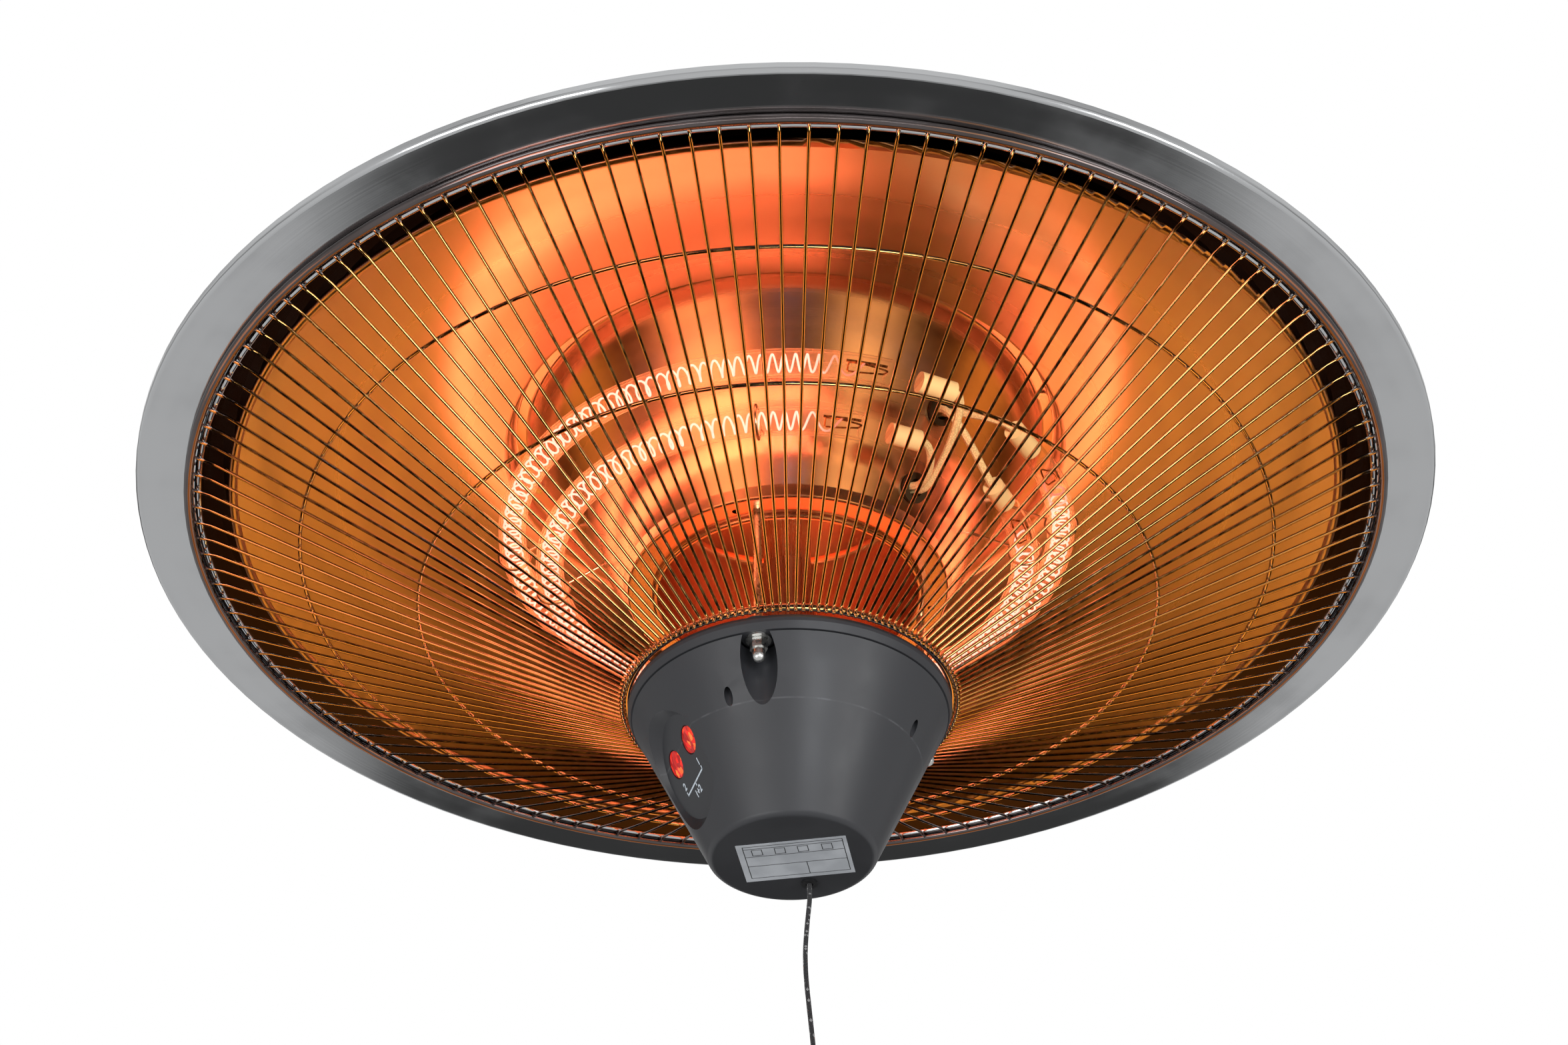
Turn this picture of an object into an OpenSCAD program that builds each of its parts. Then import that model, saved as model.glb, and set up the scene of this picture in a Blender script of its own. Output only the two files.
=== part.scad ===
// Electric patio heater that hangs from a ceiling hook, in millimetres, +Z up.
// The origin is the centre of the hanging eye. Heights in the sections below are
// measured from the underside of the shade's brim, unless they say otherwise.
// Azimuth 0 is the front (-Y), and it grows towards +X.

/* [Shade] */
// Outer radius of the shade
shade_r = 300; // [280:1:330]
// Sheet thickness of the shade
shade_t = 1; // [0.8:0.1:1.4]
// Height of the dome above the brim
dome_h = 86; // [82:1:100]
// Width of the brim, from the rim to the outer face of the lip
brim_w = 27.2; // [24:0.2:32]
// Height of the brim's upturned edge
edge_h = 4.5; // [3.5:0.5:7]
// Bend radius of the brim's outer edge
edge_bend = 2; // [1.5:0.1:3]
// Width of the hemmed lip
lip_w = 2.6; // [2.4:0.1:3.2]
// Depth of the lip below the brim
lip_drop = 2.2; // [1.6:0.1:3]
// Radius of the flat crown
crown_r = 66; // [64:1:76]

/* [Top cap and hanger] */
// Radius of the wiring cap on the crown
cap_r = 58; // [54:1:62]
// Wall of the cap
cap_wall = 2.5; // [2:0.1:3.5]
// Top plate thickness of the cap
cap_top_t = 3; // [2.5:0.1:4]
// Radius of the circle of cap screws
cap_screw_r = 46; // [42:1:48]
// Radius of the hanging eye's hole
eye_bore_r = 10.5; // [8:0.5:13]
// Radius of the eye's bar
eye_bar_r = 4; // [3.5:0.5:5]
// Depth by which the hole cuts the bar flat
eye_flat = 0.5; // [0.4:0.1:0.8]
// Radius of the eye's foot plate
eye_foot_r = 13; // [11:1:18]
// Thickness of the eye's foot plate
eye_foot_t = 3.5; // [3:0.5:5]
// Radius of the eye's shank
eye_shank_r = 5; // [4:0.5:6]
// Height of the mains inlet above the crown
gland_up = 16; // [14:1:18]
// Radius of the mains inlet's hole
gland_bore_r = 3.9; // [3.2:0.1:4.2]

/* [Central pipe] */
// Outer radius of the central pipe
pipe_r = 11; // [9.5:0.5:12]
// Wall of the central pipe
pipe_wall = 1.5; // [1.2:0.1:2]
// Height of the pipe above the crown
pipe_up = 28; // [27:1:34]
// Depth of the pipe below the brim
pipe_down = 24; // [18:1:28]
// Wall of the lower sleeve
sleeve_wall = 1.4; // [1.2:0.1:2]
// Depth of the sleeve's upper end below the brim
sleeve_down = 20; // [14:1:22]
// Thickness of the pipe nuts
pipe_nut_t = 4; // [3:0.5:5]

/* [Reflector] */
// Outer radius of the reflector's rolled rim
refl_r = 258.6; // [252:0.2:262]
// Height of the reflector's rolled rim
refl_z = 4.3; // [3:0.1:8]
// Radius of the rolled bead
bead_r = 2.1; // [1.6:0.1:2.4]
// Sheet thickness of the reflector and its hub
refl_t = 0.8; // [0.6:0.1:1]
// Radius of the crease near the rim
crease_r = 248; // [244:1:250]
// Height of the crease
crease_z = 7.2; // [6:0.1:9]
// Radius of the well's edge
well_r = 132; // [130:0.5:136]
// Height of the well's edge
well_z = 46.5; // [42:0.5:50]
// Height of the well's flat ceiling
ceil_z = 58; // [56:0.5:61]
// Radius of the hub's cone at its top
hub_top_r = 122; // [118:0.5:123]
// Radius of the hub's cone at its foot
hub_r = 75.5; // [73:0.5:80]
// Height of the hub's foot
hub_z = -28; // [-31:0.5:-25]
// Depth of the flat land below the hub's foot
land_drop = 5.4; // [4:0.2:7]
// Radius of the recess in the hub
recess_r = 60.6; // [56:0.2:61]
// Height of the recess's ceiling
recess_z = 29.6; // [24:0.2:34]
// Radius of the wire grommets' holes
grommet_hole_r = 5.7; // [5:0.1:6.2]
// Azimuth of the grommets and of the gap between the tube ends
lead_az = 44.5; // [40:0.5:48]

/* [Heating tubes] */
// Ring radius of the outer tube
tube_o_r = 128; // [124:0.5:132]
// Height of the outer tube
tube_o_z = -2.4; // [-6:0.2:2]
// Ring radius of the inner tube
tube_i_r = 110; // [107:0.5:112]
// Height of the inner tube
tube_i_z = -20; // [-24:0.5:-18]
// Outside radius of the quartz glass
glass_r = 6.4; // [6:0.1:7]
// Wall of the quartz glass
glass_wall = 1.1; // [0.9:0.1:1.4]
// Mean radius of the filament's turns
coil_r = 3.9; // [3.4:0.1:4.1]
// Radius of the filament's wire
coil_wire_r = 0.5; // [0.4:0.05:0.6]
// Turns drawn on the outer filament
coil_turns_o = 48; // [30:1:50]
// Turns drawn on the inner filament
coil_turns_i = 40; // [24:1:42]
// Radius of the ceramic end caps
end_cap_r = 4.8; // [4.4:0.1:5.4]
// Radius of the braided heater leads
lead_r = 1.8; // [1.5:0.1:1.9]
// Radius of the tube supports' wire
clip_wire_r = 0.7; // [0.6:0.05:0.9]

/* [Grille] */
// Number of radial wires
wire_count = 144; // [120:12:156]
// Radius of a grille wire
wire_r = 0.75; // [0.6:0.05:0.9]
// Bar radius of the outer ring
outer_bar_r = 2.05; // [1.8:0.05:2.3]
// Bar radius of the two middle rings
mid_bar_r = 0.9; // [0.75:0.05:1.2]
// Bar radius of the inner ring
inner_bar_r = 1.7; // [1.5:0.05:2]
// Radius of the first middle ring
mid_ring_1_r = 223.9; // [218:0.1:230]
// Radius of the second middle ring
mid_ring_2_r = 168.7; // [160:0.1:176]
// Distance from the outer ring inwards to the wires' bend
bend_in = 10.55; // [8:0.05:13]
// Play between the lip and the outer ring
grille_play = 1.2; // [0.8:0.1:2]

/* [Housing] */
// Outer radius of the housing collar
collar_r = 73.8; // [71:0.2:78]
// Depth of the collar's top face below the brim
collar_down = 95; // [92:0.5:98]
// Height of the collar
collar_h = 8; // [7:0.5:10]
// Radius of the cone at the seam
cone_top_r = 70.6; // [69.6:0.2:71.4]
// Radius of the cone at its bottom
cone_bot_r = 36.4; // [34:0.2:40]
// Height of the cone
cone_h = 71.2; // [66:0.2:76]
// Wall of the cone
cone_wall = 2.2; // [1.8:0.1:2.6]
// Radius of the circle of tie rods
tie_r = 65; // [64.5:0.1:65.5]
// Azimuth of the front tie rod
tie_az = -11.5; // [-16:0.5:-8]
// Radius of a tie rod
tie_rod_r = 2; // [1.5:0.1:2.2]
// Radius of the recess around each acorn nut
scallop_r = 8; // [7.2:0.1:8.6]
// Radius of the housing's screw wells
well_bore_r = 1.9; // [1.7:0.05:2.2]
// Azimuth of the first screw well
screw_az = -26; // [-29:0.5:-24]
// Azimuth of the lamp facet
facet_az = -73; // [-76:0.5:-71]
// Depth of the facet's flat floor below the cone
facet_deep = 5.2; // [4.6:0.1:5.6]
// Radius of a pilot lamp's lens
lens_r = 6; // [5.6:0.1:6.2]
// Distance between the pilot lamps
lamp_gap = 20.6; // [19:0.2:21.4]
// Length of the rating plate
label_l = 48; // [40:1:49]
// Width of the rating plate
label_w = 30.5; // [24:0.5:31]

/* [Pull switch and cord] */
// Place of the cord's hole across the housing's floor
cord_x = 7; // [5:0.5:9]
// Place of the cord's hole behind the axis
cord_y = 20.5; // [20:0.5:22]
// Radius of the cord
cord_r = 1.05; // [0.8:0.05:1.2]
// Width of the switch body
switch_w = 26; // [24:1:26]
// Depth of the switch body
switch_d = 22; // [20:1:22]
// Height of the switch body
switch_h = 48; // [46:1:50]
// Travel of the pull cord
pull_travel = 10; // [8:0.5:12]
// Length of the knob on the cord
knob_l = 28; // [24:1:34]
// Radius of the knob's lower end
knob_r = 7; // [6:0.5:9]

/* [Hidden] */
$fn = 96;

// Clearances
fit = 0.05;
gap = 0.1;
soft_gap = 0.3;

// Shade and crown
lip_r = shade_r - brim_w;
lip_in = lip_r - lip_w;
crown_top = dome_h * sqrt(1 - pow(crown_r / (lip_in + shade_t), 2));
crown_under = (dome_h - shade_t) * sqrt(1 - pow(crown_r / lip_in, 2));

// Hanger stack, from the crown up to the eye
pipe_top = crown_top + pipe_up;
cap_under = pipe_top + soft_gap;
cap_top = cap_under + cap_top_t;
eye_ring_r = eye_bore_r - eye_flat + eye_bar_r;
eye_neck = 2;
eye_z = cap_top + eye_foot_t + eye_neck + eye_ring_r + eye_bar_r;
gland_thread_r = gland_bore_r + 2.1;
gland_seal_r = gland_bore_r + 1.15;
supply_r = 3.5;
supply_end = 30;
plug_h = pipe_up - gland_up - supply_r - soft_gap;
gland_z = crown_top + gland_up;
screw_r = 1.9;

// Hub cone and its outward tilt
hub_top_z = ceil_z - refl_t - gap;
hub_slope = (hub_top_r - hub_r) / (hub_top_z - hub_z);
hub_tilt = atan(hub_slope);
land_z = hub_z - land_drop;
hub_bead_r = 1.5;
hub_bead_sink = 0.15;
grommet_up_z = 16;
grommet_low_z = -17.7;
small_hole_az = 8;

// Grille cone
outer_ring_r = lip_r + grille_play + outer_bar_r;
bend_r = outer_ring_r - bend_in;
outer_ring_z = -outer_bar_r - gap;
wire_z = outer_ring_z - outer_bar_r - wire_r - fit;
collar_z = -collar_down;
inner_ring_r = collar_r - 0.8;
inner_ring_z = collar_z + inner_bar_r + gap;
wire_in_r = inner_ring_r + inner_bar_r + wire_r + fit;
wire_in_z = inner_ring_z - 0.2;
wire_tail = 3.6;
bend_swell = 0.03;
wire_tilt = atan((wire_z - wire_in_z) / (bend_r - wire_in_r));

// Housing
seam_z = collar_z - collar_h;
cone_z = seam_z - 0.5;
floor_z = cone_z - cone_h;
floor_t = 2.5;
cone_slope = (cone_top_r - cone_bot_r) / cone_h;
cone_tilt = atan(cone_slope);
cone_edge_r = 3;
nut_flat = 7;
nut_r = nut_flat / sqrt(3);
washer_t = 1;
washer_r = 5.6;
boss_r = 7.4;
facet_z = cone_z - 33.5;
facet_middle = [4.5, -4];
facet_r = 23.4;
facet_flare = 0.8;
pad_t = 2.2;
lamp_centre = [5.3, 3.1];
lens_sink = 1;
lens_play = 0.6;
lens_dome_r = 24;
lens_rise = 0.5;
lamp_stem_r = 5;
lamp_flange_r = 6.4;
lamp_body_h = 18;
lamp_blade_h = 6;
label_turn = -8.4;
label_t = 0.15;
eyelet_r = 3.6;
switch_z = floor_z + floor_t + 6;
switch_wall = 1.5;
carrier_z = switch_z + 26;
cam_r = 6.5;
cam_z = carrier_z + 3 + 1 + cam_r;
stem_r = 1.5;

// Pull cord: places relative to its hole in the floor, top to bottom
CORD = [
    [0, 0, 12], [0, 0, 0], [0, 0, -8], [-0.8, 0, -16], [-1.8, 0, -26],
    [-2.4, 0, -36], [-2.2, 0, -48], [-1.2, 0, -62], [0, 0, -78], [1, 0, -96],
    [1.6, 0, -116], [1.4, 0, -136], [0.8, 0, -158], [0.3, 0, -180],
    [0, 0, -200], [0, 0, -215]
];
cord_sink = 8;
knob_z = floor_z + CORD[len(CORD) - 1][2] + cord_sink;

// Supports of the heating tubes
clip_az = [-5, 85, 175, 265];

// End caps: tube (0 outer, 1 inner), azimuth of the glass end, span of the cap
cap_span = 9.5;
outer_end_az = [27, 60.5];
inner_end_az = [24, 64.5];
pinch_span = 6;

// Vectors and outlines
function unit(v) = v / norm(v);
function corner(a, b, c, r, n = 4) =
    let (
        u = unit(a - b),
        v = unit(c - b),
        half = acos(u * v) / 2,
        o = b + unit(u + v) * (r / sin(half)),
        p = b + u * (r / tan(half)),
        q = b + v * (r / tan(half)),
        a0 = atan2(p[1] - o[1], p[0] - o[0]),
        raw = atan2(q[1] - o[1], q[0] - o[0]) - a0,
        turn = raw > 180 ? raw - 360 : raw < -180 ? raw + 360 : raw
    )
    [for (i = [0:n]) o + r * [cos(a0 + turn * i / n), sin(a0 + turn * i / n)]];
// A path with each inner corner rounded to its own radius
function rounded(p, r) = [
    p[0],
    for (i = [1:len(p) - 2]) each (r[i] > 0 ? corner(p[i - 1], p[i], p[i + 1], r[i]) : [p[i]]),
    p[len(p) - 1]
];
function side(p, i) =
    let (d = unit(p[min(i + 1, len(p) - 1)] - p[max(i - 1, 0)])) [-d[1], d[0]];
// The outline of a sheet of thickness t along a path
function sheet(p, t) = concat(
    [for (i = [0:len(p) - 1]) p[i] + side(p, i) * t / 2],
    [for (i = [len(p) - 1:-1:0]) p[i] - side(p, i) * t / 2]
);
function polar(r, az, z) = [r * sin(az), -r * cos(az), z];
function bezier(a, b, c, d, n) = [
    for (i = [0:n])
        let (t = i / n, s = 1 - t)
        s * s * s * a + 3 * s * s * t * b + 3 * s * t * t * c + t * t * t * d
];
// A smooth curve through points, n steps from each to the next
function through(p, n) = [
    for (i = [0:len(p) - 2], k = [0:n - 1])
        let (
            a = p[max(i - 1, 0)],
            b = p[i],
            c = p[i + 1],
            d = p[min(i + 2, len(p) - 1)],
            t = k / n
        )
        0.5 * (2 * b + (c - a) * t + (2 * a - 5 * b + 4 * c - d) * t * t
            + (3 * b - a - 3 * c + d) * t * t * t),
    p[len(p) - 1]
];

// A closed tube of m sides along a path; ref holds one side vector for each point
module sweep(path, ref, r, m) {
    n = len(path);
    points = [
        for (i = [0:n - 1])
            let (
                t = unit(path[min(i + 1, n - 1)] - path[max(i - 1, 0)]),
                u = unit(cross(t, ref[i])),
                v = cross(t, u)
            )
            for (k = [0:m - 1]) path[i] + r * (cos(360 * k / m) * u + sin(360 * k / m) * v)
    ];
    faces = concat(
        [for (i = [0:n - 2], k = [0:m - 1]) [i * m + k, (i + 1) * m + k, i * m + (k + 1) % m]],
        [
            for (i = [0:n - 2], k = [0:m - 1])
                [i * m + (k + 1) % m, (i + 1) * m + k, (i + 1) * m + (k + 1) % m]
        ],
        [for (k = [1:m - 2]) [0, k, k + 1]],
        [for (k = [1:m - 2]) [(n - 1) * m, (n - 1) * m + k + 1, (n - 1) * m + k]]
    );
    polyhedron(points, faces);
}

// Everything below is drawn from the brim's underside, then dropped below the eye
module at_brim() {
    translate([0, 0, -eye_z]) children();
}
module turned(az) {
    rotate([0, 0, az]) children();
}
module ring_of(count, r, az, z) {
    for (i = [0:count - 1]) turned(az + 360 * i / count) translate([0, -r, z]) children();
}
module tube(r_out, r_in, z0, z1) {
    translate([0, 0, z0]) difference() {
        cylinder(r = r_out, h = z1 - z0);
        translate([0, 0, -1]) cylinder(r = r_in, h = z1 - z0 + 2);
    }
}
module torus(r, bar) {
    rotate_extrude() translate([r, 0]) circle(r = bar, $fn = 32);
}
// A bar ring from azimuth a0 to a1, drawn from a section at radius r
module arc_ring(a0, a1) {
    turned(a0 - 90) rotate_extrude(angle = a1 - a0) children();
}

// Shade
module shade() {
    steps = 22;
    a_out = acos(crown_r / (lip_in + shade_t));
    a_in = acos(crown_r / lip_in);
    a_foot = asin((shade_t + 1.2) / dome_h);
    outer = [
        for (i = [0:steps])
            let (a = a_out + (a_foot - a_out) * i / steps)
            [(lip_in + shade_t) * cos(a), dome_h * sin(a)]
    ];
    inner = [
        for (i = [0:steps])
            let (a = a_in * i / steps)
            [lip_in * cos(a), (dome_h - shade_t) * sin(a)]
    ];
    hole = pipe_r + 0.2;
    bend_c = [shade_r - edge_bend, edge_bend];
    edge = [for (i = [0:5]) bend_c + edge_bend * [cos(-18 * i), sin(-18 * i)]];
    hem_c = [lip_in + lip_w / 2, lip_w / 2 - lip_drop];
    hem = [for (i = [0:8]) hem_c + lip_w / 2 * [cos(-22.5 * i), sin(-22.5 * i)]];
    color("silver") at_brim() difference() {
        rotate_extrude($fn = 180) polygon(concat(
            [[hole, crown_top]],
            outer,
            [
                [lip_in + shade_t + 1.4, shade_t],
                [shade_r - edge_bend, shade_t],
                [shade_r - shade_t, edge_bend],
                [shade_r - shade_t, edge_h],
                [shade_r, edge_h]
            ],
            edge,
            [[lip_r + 0.6, 0]],
            hem,
            inner,
            [[hole, crown_under]]
        ));
        ring_of(3, cap_screw_r, 0, crown_under - 1) cylinder(r = screw_r + 0.2, h = 4);
    }
}

// Wiring cap on the crown, its screws and nuts
module top_cap() {
    wall = rounded(
        [
            [cap_r - cap_wall / 2, crown_top],
            [cap_r - cap_wall / 2, cap_top - cap_top_t / 2],
            [cap_r - 20, cap_top - cap_top_t / 2]
        ],
        [0, 8, 0]
    );
    color("dimgray") at_brim() difference() {
        union() {
            rotate_extrude() polygon(sheet(wall, cap_wall));
            tube(cap_r - 19, eye_shank_r + fit, cap_under, cap_top);
            ring_of(3, cap_screw_r, 0, crown_top) cylinder(r = 5, h = cap_under - crown_top + 1);
        }
        ring_of(3, cap_screw_r, 0, crown_top - 1) cylinder(r = screw_r + 0.1, h = 60);
        ring_of(3, cap_screw_r, 0, cap_top - 2.4) cylinder(r = 4.2, h = 6);
        translate([0, cap_r - 8, gland_z]) rotate([-90, 0, 0]) cylinder(r = gland_thread_r + fit, h = 16);
    }
}
module cap_screws() {
    head = cap_top - 2.4 + gap;
    color("silver") at_brim() ring_of(3, cap_screw_r, 0, 0) difference() {
        union() {
            translate([0, 0, head]) cylinder(r1 = 3.6, r2 = 3, h = 2.2);
            translate([0, 0, crown_under - 6]) cylinder(r = screw_r, h = head - crown_under + 6.5);
        }
        translate([-2.4, -0.4, head + 1.2]) cube([4.8, 0.8, 2]);
        translate([-0.4, -2.4, head + 1.2]) cube([0.8, 4.8, 2]);
    }
}
module cap_nuts() {
    color("silver") at_brim() ring_of(3, cap_screw_r, 0, crown_under - 3.3) difference() {
        cylinder(r = nut_r, h = 3.2, $fn = 6);
        translate([0, 0, -1]) cylinder(r = screw_r + fit, h = 6);
    }
}

// Hanging eye and the plug that holds it in the pipe
module hanging_eye() {
    color("silver") difference() {
        union() {
            rotate([90, 0, 0]) torus(eye_ring_r, eye_bar_r);
            translate([0, 0, cap_top - eye_z]) cylinder(r = eye_foot_r, h = eye_foot_t);
            translate([0, 0, cap_top + eye_foot_t - eye_z - 0.5])
                cylinder(r1 = 8, r2 = 5, h = eye_neck + 3);
            translate([0, 0, pipe_top - plug_h - eye_z])
                cylinder(r = eye_shank_r, h = cap_top - pipe_top + plug_h + 1);
        }
        rotate([90, 0, 0]) translate([0, 0, -20]) cylinder(r = eye_bore_r, h = 40);
    }
}
module eye_plug() {
    color("gray") at_brim()
        tube(pipe_r - pipe_wall - fit, eye_shank_r + fit, pipe_top - plug_h, pipe_top);
}

// Mains inlet: the gland's body, its seal and its nut. Their axis runs along +Y
module along_gland(y) {
    translate([0, cap_r + y, gland_z]) rotate([-90, 0, 0]) children();
}
module gland_body() {
    color("#26282a") at_brim() difference() {
        union() {
            along_gland(-6) cylinder(r = gland_thread_r, h = 24);
            along_gland(gap) cylinder(r = gland_thread_r + 3.4, h = 4, $fn = 6);
        }
        along_gland(-8) cylinder(r = gland_bore_r + 0.5, h = 30);
        along_gland(12) cylinder(r = gland_seal_r + fit, h = 10);
    }
}
module gland_seal() {
    color("#151515") at_brim() along_gland(12 + gap)
        tube(gland_seal_r, gland_bore_r + 0.4, 0, 5.8);
}
module gland_nut() {
    color("#26282a") at_brim() difference() {
        union() {
            along_gland(6) cylinder(r = gland_thread_r + 3.2, h = 8, $fn = 6);
            along_gland(14) cylinder(r1 = gland_thread_r + 2, r2 = gland_bore_r + 2.3, h = 9);
        }
        along_gland(5) cylinder(r = gland_thread_r + fit, h = 13.2);
        along_gland(5) cylinder(r = gland_bore_r, h = 30);
    }
}
// The short lead between the pipe and the housing's switch, inside the pipe
module supply_lead() {
    color("#1c1c1c") at_brim() union() {
        translate([0, 0, seam_z - 6]) cylinder(r = supply_r, h = gland_z - seam_z + 6);
        translate([0, 0, gland_z]) sphere(r = supply_r);
        translate([0, 0, gland_z]) rotate([-90, 0, 0]) cylinder(r = supply_r, h = supply_end);
    }
}

// Central pipe, its nuts and the lower sleeve
module central_pipe() {
    color("silver") at_brim() difference() {
        tube(pipe_r, pipe_r - pipe_wall, -pipe_down, pipe_top);
        translate([0, 0, gland_z]) rotate([-90, 0, 0]) cylinder(r = supply_r + 1, h = 20);
    }
}
module pipe_nuts() {
    nut = (pipe_r + 3.2) * 2 / sqrt(3);
    color("gray") at_brim()
        for (z = [
            crown_top + gap,
            crown_under - pipe_nut_t - gap,
            recess_z + refl_t / 2 + gap,
            recess_z - refl_t / 2 - pipe_nut_t - gap
        ])
            translate([0, 0, z]) difference() {
                cylinder(r = nut, h = pipe_nut_t, $fn = 6);
                translate([0, 0, -1]) cylinder(r = pipe_r + fit, h = pipe_nut_t + 2);
            }
}
module lower_sleeve() {
    color("silver") at_brim() union() {
        tube(pipe_r + fit + sleeve_wall, pipe_r + fit, -pipe_down, -sleeve_down);
        tube(pipe_r + fit + sleeve_wall, pipe_r - pipe_wall, collar_z + gap, -pipe_down - gap);
        tube(pipe_r + fit + sleeve_wall, pipe_r, -pipe_down - gap - 1, -pipe_down + 0.5);
        tube(pipe_r + 8, pipe_r - pipe_wall, collar_z + gap, collar_z + gap + 2);
    }
}

// Reflector skirt with its rolled rim, crease and well
module reflector() {
    path = rounded(
        [
            [refl_r - bead_r, refl_z],
            [crease_r, crease_z],
            [well_r, well_z],
            [well_r - 1.5, ceil_z],
            [hub_top_r - 8, ceil_z]
        ],
        [0, 12, 3, 3, 0]
    );
    color("goldenrod") at_brim() difference() {
        union() {
            rotate_extrude($fn = 180) polygon(sheet(path, refl_t));
            translate([0, 0, refl_z]) torus(refl_r - bead_r, bead_r);
        }
        ring_of(6, hub_top_r + 3.5, 15, ceil_z - 1) cylinder(r = 1.65, h = 2);
    }
}

// Hub of the reflector: cone, flat land, rolled bead and recess
module on_hub(az, z, lift) {
    turned(az) translate([0, -(hub_r + (z - hub_z) * hub_slope), z])
        rotate([90 + hub_tilt, 0, 0]) translate([0, 0, lift]) children();
}
module reflector_hub() {
    path = rounded(
        [
            [well_r - 4, hub_top_z],
            [hub_top_r, hub_top_z],
            [hub_r, hub_z],
            [hub_r - 2, land_z],
            [recess_r, land_z],
            [recess_r, recess_z],
            [pipe_r + 0.6, recess_z]
        ],
        [0, 3, 2, 1.2, 0, 3, 0]
    );
    color("goldenrod") at_brim() difference() {
        union() {
            rotate_extrude($fn = 180) polygon(sheet(path, refl_t));
            translate([0, 0, land_z + refl_t / 2 - hub_bead_r - hub_bead_sink])
                torus(recess_r + 0.4, hub_bead_r);
        }
        for (z = [grommet_up_z, grommet_low_z])
            on_hub(lead_az, z, -6) cylinder(r = grommet_hole_r, h = 12);
        ring_of(3, tie_r, tie_az, land_z - 2) cylinder(r = tie_rod_r + 0.15, h = 4);
        ring_of(3, tie_r + 2.5, tie_az - small_hole_az, land_z - 2) cylinder(r = 1.6, h = 4);
        ring_of(6, hub_top_r + 3.5, 15, hub_top_z - 1) cylinder(r = 1.65, h = 2);
    }
}
module hub_rivets() {
    flat = refl_t / 2;
    color("silver") at_brim() ring_of(6, hub_top_r + 3.5, 15, 0) {
        translate([0, 0, hub_top_z - flat - 0.6]) cylinder(r = 1.6, h = ceil_z - hub_top_z + refl_t + 1.2);
        translate([0, 0, hub_top_z - flat - 1.2 - fit]) cylinder(r = 2.4, h = 1.2);
        translate([0, 0, ceil_z + flat + fit]) cylinder(r = 2.4, h = 1.2);
    }
}
// Posts that hang the reflector from the dome
module spacer_posts() {
    post_r = 5;
    r = hub_top_r - 3;
    top = (dome_h - shade_t) * sqrt(1 - pow((r + post_r) / lip_in, 2)) - gap;
    color("silver") at_brim() ring_of(4, r, 30, ceil_z + refl_t / 2 + gap)
        cylinder(r = post_r, h = top - ceil_z - refl_t / 2 - gap);
}

// Ceramic terminal block inside the hub, where the heater leads end
term_w = 30;
term_r = [64, 76];
term_z = [-9, 9];
module hub_terminal() {
    color("ivory") at_brim() turned(lead_az) difference() {
        translate([-term_w / 2, -term_r[1], term_z[0]])
            cube([term_w, term_r[1] - term_r[0], term_z[1] - term_z[0]]);
        for (x = [-9, -3, 3, 9])
            translate([x, -(term_r[0] + term_r[1]) / 2, term_z[0] + 3]) cylinder(r = 1.6, h = 20);
    }
}

// Quartz tubes, each with a flat pinch at both ends
module heating_tube(r, z, ends) {
    color("#e8eef2", 0.4) at_brim() translate([0, 0, z]) union() {
        arc_ring(ends[1] + pinch_span - 360, ends[0] - pinch_span) difference() {
            translate([r, 0]) circle(r = glass_r, $fn = 48);
            translate([r, 0]) circle(r = glass_r - glass_wall, $fn = 48);
        }
        for (a = [ends[0] - pinch_span - 0.6, ends[1] - 0.4])
            arc_ring(a, a + pinch_span + 1) translate([r - 5, -1.6]) square([10, 3.2]);
    }
}
module outer_tube() {
    heating_tube(tube_o_r, tube_o_z, outer_end_az);
}
module inner_tube() {
    heating_tube(tube_i_r, tube_i_z, inner_end_az);
}

// Filaments: one wound wire inside each tube, from azimuth a0 down to a1
function coil(r, z, a0, a1, turns) = [
    for (i = [0:turns * 8])
        let (a = a0 + (a1 - a0) * i / (turns * 8), q = r + coil_r * cos(45 * i))
        polar(q, a, z + coil_r * sin(45 * i))
];
function coil_ref(a0, a1, turns) = [
    for (i = [0:turns * 8])
        let (a = a0 + (a1 - a0) * i / (turns * 8))
        polar(cos(45 * i), a, sin(45 * i))
];
// The two ends run straight on for one wire diameter
function with_ends(p) =
    let (n = len(p) - 1, s = 2 * coil_wire_r)
    concat(
        [p[0] + unit(p[0] - p[1]) * s],
        p,
        [p[n] + unit(p[n] - p[n - 1]) * s]
    );
function ends_of(v) = concat([v[0]], v, [v[len(v) - 1]]);
outer_coil_az = [73, 371];
inner_coil_az = [81.5, 367.5];
outer_coil = coil(tube_o_r, tube_o_z, outer_coil_az[0], outer_coil_az[1], coil_turns_o);
inner_coil = coil(tube_i_r, tube_i_z, inner_coil_az[0], inner_coil_az[1], coil_turns_i);
// Least distance between points over half a turn apart, less the wire's thickness
function self_gap(p) =
    min([for (i = [0:len(p) - 14], k = [5:13]) norm(p[i] - p[i + k])]) - 2 * coil_wire_r;
echo(outer_filament_self_gap = self_gap(outer_coil));
echo(inner_filament_self_gap = self_gap(inner_coil));
module outer_filament() {
    ref = coil_ref(outer_coil_az[0], outer_coil_az[1], coil_turns_o);
    color("orangered") at_brim() sweep(with_ends(outer_coil), ends_of(ref), coil_wire_r, 6);
}
module inner_filament() {
    ref = coil_ref(inner_coil_az[0], inner_coil_az[1], coil_turns_i);
    color("orangered") at_brim() sweep(with_ends(inner_coil), ends_of(ref), coil_wire_r, 6);
}
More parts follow.
